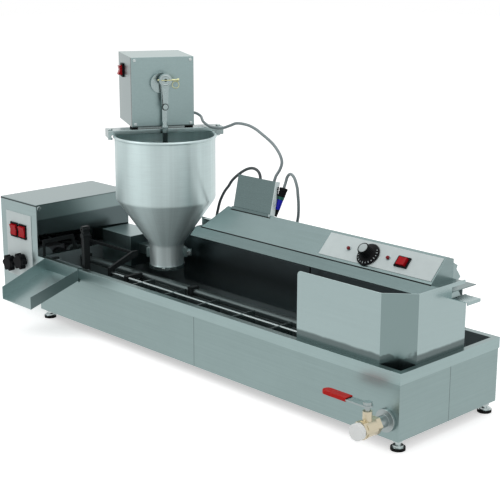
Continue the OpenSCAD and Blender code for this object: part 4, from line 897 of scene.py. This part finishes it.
# %% Cap and dial marks
MARKS, MARK_STEP, FIRST_MARK = 15, 18, -216
SKIRT_SLOPE = 19.9
cap_profile = [(0, 23.9), (8.9, 23.9), (8.9, 24.4), (8.2, 24.9), (0, 25.0)]
lathe("thermostat_cap", cap_profile, dial_place, "thermostat_dial", [cap_grey])
dial_marks = bmesh.new()
for k in range(MARKS):
    tick = bmesh.ops.create_circle(dial_marks, cap_ends=True, segments=12, radius=MM)["verts"]
    bmesh.ops.scale(dial_marks, vec=(1.9 if k % 2 else 1.3, 0.75, 1), verts=tick)
    about = Matrix.Rotation(math.radians(MARK_STEP * k + FIRST_MARK), 4, "Z")
    lean = Matrix.Rotation(math.radians(SKIRT_SLOPE), 4, "Y")
    on_skirt = about @ Matrix.Translation(Vector((19.2, 0, 5.4)) * MM) @ lean
    bmesh.ops.transform(dial_marks, matrix=dial_place @ on_skirt, verts=tick)
finish_piece(dial_marks, "dial_marks", "thermostat_dial", [cap_grey])
print("dial marks:", MARKS)

# %% [markdown]
# ## Lamps
# Two red lamps sit beside the dial, each a domed lens in a bright bezel. Both are turned pieces: a lens
# that starts on the axis and a ring that doesn't. The first lens stands for the CAD node of both lamps.

# %% Lamps
LAMP_UP = 31
bezel_profile = [(3.6, 1.0), (4.8, 1.0), (4.8, 2.2), (4.3, 3.0), (3.6, 3.0)]
lens_profile = [(0, 1.0), (3.5, 1.0), (3.5, 4.0), (3.2, 5.2), (2.4, 6.0), (1.2, 6.4), (0, 6.5)]
for k, x in enumerate((-265, -172)):
    lens = lathe("lamp_lens_%d" % k, lens_profile, on_panel(x, LAMP_UP), "frame", [lamp_red], 32, smooth=50)
    lathe("lamp_bezel_%d" % k, bezel_profile, on_panel(x, LAMP_UP), "frame", [screw_steel], 32)
    if k == 0:
        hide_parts("indicator_lamps")
    print(lens.name, "faces:", len(lens.data.polygons))

# %% [markdown]
# ## Dark cords
# A dark rubber cord lies in the fold below the panel as painted shade of that crease, and another lies
# along the shield's foot. Each is a thin round cord lying in the fold. A circle is turned to look along
# the machine and extruded, which gives a closed bar.

# %% Dark cords
def dark_cord(name, x0, x1, up_slope, radius):
    bm = bmesh.new()
    ring = bmesh.ops.create_circle(bm, cap_ends=True, segments=16, radius=radius * MM)["verts"]
    bmesh.ops.rotate(bm, cent=(0, 0, 0), matrix=Matrix.Rotation(math.radians(90), 3, "Y"), verts=ring)
    side = bmesh.ops.extrude_face_region(bm, geom=bm.faces[:])["geom"]
    moved = [v for v in side if isinstance(v, bmesh.types.BMVert)]
    bmesh.ops.translate(bm, vec=((x1 - x0) * MM, 0, 0), verts=moved)
    bmesh.ops.recalc_face_normals(bm, faces=bm.faces)
    bmesh.ops.transform(bm, matrix=on_panel(x0, up_slope), verts=bm.verts)
    finish_piece(bm, name, "frame", [rubber])
    print(name, x1 - x0, "mm long")


# Painted shade: a dark cord stands for the shade in the fold below the sloped panel.
dark_cord("fold_shade_cord", -648, -60, 0.4, 1.2)
dark_cord("shield_foot_cord", -601, -489, 55.6, 1.1)

# %% [markdown]
# ## Crank details
# The boss on the crank's pin is turned: a raised ring and a small centre nib. The pivot bolt below has
# a dark washer. They are spun like the lamps, and ride with the crank and the connecting rod, so they
# keep their place at every angle.

# %% Crank rings
CRANK_Z, CRANK_R, CRANK_REST = 502, 10.3, 51
ROD_LENGTH = 57
BOSS_FACE, PIVOT_FACE = -14.7, -6.3


def on_mixer(across, deep, z):
    x = HOPPER_X + across * math.cos(mixer_angle) - deep * math.sin(mixer_angle)
    y = HOPPER_Y + across * math.sin(mixer_angle) + deep * math.cos(mixer_angle)
    return turned_to(x, y, z, (MIXER_TURN, "Z"), (90, "X"))


pin_z = CRANK_Z + CRANK_R * math.sin(math.radians(CRANK_REST))
ring_profile = [(8.4, -0.2), (8.4, 0.5), (9.0, 0.9), (10.6, 0.9), (11.2, 0.5), (11.2, -0.2)]
nib_profile = [(0, -0.2), (3.2, -0.2), (3.2, 0.5), (2.6, 0.9), (0, 1.0)]
washer_profile = [(6.1, -0.2), (6.1, 0.7), (6.3, 1.0), (7.0, 1.0), (7.3, 0.7), (7.3, -0.2)]
lathe("boss_ring", ring_profile, on_mixer(0, BOSS_FACE, pin_z), "crank", [rod_steel], 64)
lathe("boss_nib", nib_profile, on_mixer(0, BOSS_FACE, pin_z), "crank", [dark_iron], 32)
pivot_place = on_mixer(0, PIVOT_FACE, pin_z - ROD_LENGTH)
lathe("pivot_washer", washer_profile, pivot_place, "conrod", [dark_iron], 48)
print("crank pin at", round(pin_z, 1), "mm")

# %% [markdown]
# ## Floor
# A plain pale floor carries the soft shadow. Steel would mirror a grey floor as a dirty band, so
# mirrored rays see it as white paper, and the camera sees it a little brighter than its light makes it.
# More lamps would do that as well, but they would bleach the machine.

# %% Floor
def mirror_rays(tree):
    rays = add(tree, "LightPath").outputs
    return calc(tree, "MAXIMUM", rays["Is Glossy Ray"], rays["Is Transmission Ray"]), rays["Is Camera Ray"]


WHITE = (1, 1, 1, 1)
FLOOR_HALF = 9
floor_mesh = bpy.data.meshes.new("floor")
ground = bmesh.new()
bmesh.ops.create_grid(ground, x_segments=1, y_segments=1, size=FLOOR_HALF)
ground.to_mesh(floor_mesh)
ground.free()
floor = new_object("floor", floor_mesh)
pale, tree, skin, place = new_material("pale_floor")
cloud = noise(tree, place.outputs["Object"], 2.0)
shade = blend_colour(tree, cloud, (0.86, 0.86, 0.86, 1), (0.90, 0.90, 0.90, 1))
tree.links.new(shade, skin.inputs["Base Color"])
skin.inputs["Roughness"].default_value = 0.9
skin.inputs["Specular IOR Level"].default_value = 0.0
skin.inputs["Emission Color"].default_value = WHITE
mirrored, seen = mirror_rays(tree)
tree.links.new(calc(tree, "MULTIPLY", seen, 0.5), skin.inputs["Emission Strength"])
paper = add(tree, "Emission", {"Color": WHITE, "Strength": 0.97})
surface = skin.outputs["BSDF"].links[0].to_socket
either = add(tree, "MixShader", {0: mirrored, 1: skin.outputs["BSDF"], 2: paper.outputs[0]})
tree.links.new(either.outputs[0], surface)
floor_mesh.materials.append(pale)
print("floor:", 2 * FLOOR_HALF, "m wide")

# %% [markdown]
# ## World
# The camera and every reflection see plain white all round, so steel shows its own colour. Diffuse
# light from the world is weaker than that, and weakest near the floor, which gives soft shade below the
# machine. One strength for all rays would leave the machine without shade.

# %% World
world = bpy.data.worlds.new("studio")
bpy.context.scene.world = world
world.use_nodes = True
sky = world.node_tree
sky.nodes.clear()
direction = add(sky, "SeparateXYZ", {0: add(sky, "TexCoord").outputs["Generated"]})
rise = add(sky, "MapRange", {"Value": direction.outputs["Z"], "From Min": -0.2, "From Max": 0.9,
                             "To Min": 0.40, "To Max": 0.72})
mirrored, seen = mirror_rays(sky)
plain = calc(sky, "MAXIMUM", mirrored, seen)
strength = add(sky, "Mix", {0: plain, 2: rise.outputs[0], 3: 1.0}).outputs[0]
glow = add(sky, "Background", {"Color": WHITE, "Strength": strength})
add(sky, "OutputWorld", {"Surface": glow.outputs[0]})
print("world:", world.name)

# %% [markdown]
# ## Lamps of the studio
# Three large soft lamps shape the machine: a key from the front left, a weak fill from the right and
# one from above. Small lamps would draw hard shadows and bright dots on the steel. Each looks at the
# middle of the tank.

# %% Studio lamps
def softbox(name, place, target, size, power):
    lamp = bpy.data.lights.new(name, "AREA")
    lamp.size = size
    lamp.energy = power
    light = new_object(name, lamp)
    light.location = place
    light.rotation_euler = (target - place).to_track_quat("-Z", "Y").to_euler()
    print(name, power, "W")


tank_middle = at(-500, 130, 150)
softbox("key", Vector((-1.2, -2.4, 2.6)), tank_middle, 1.8, 24)
softbox("fill", Vector((2.6, -0.6, 1.6)), tank_middle, 1.6, 7)
softbox("top", Vector((0, 0.6, 3.0)), tank_middle, 2.4, 18)
bpy.context.scene.view_settings.view_transform = "Standard"
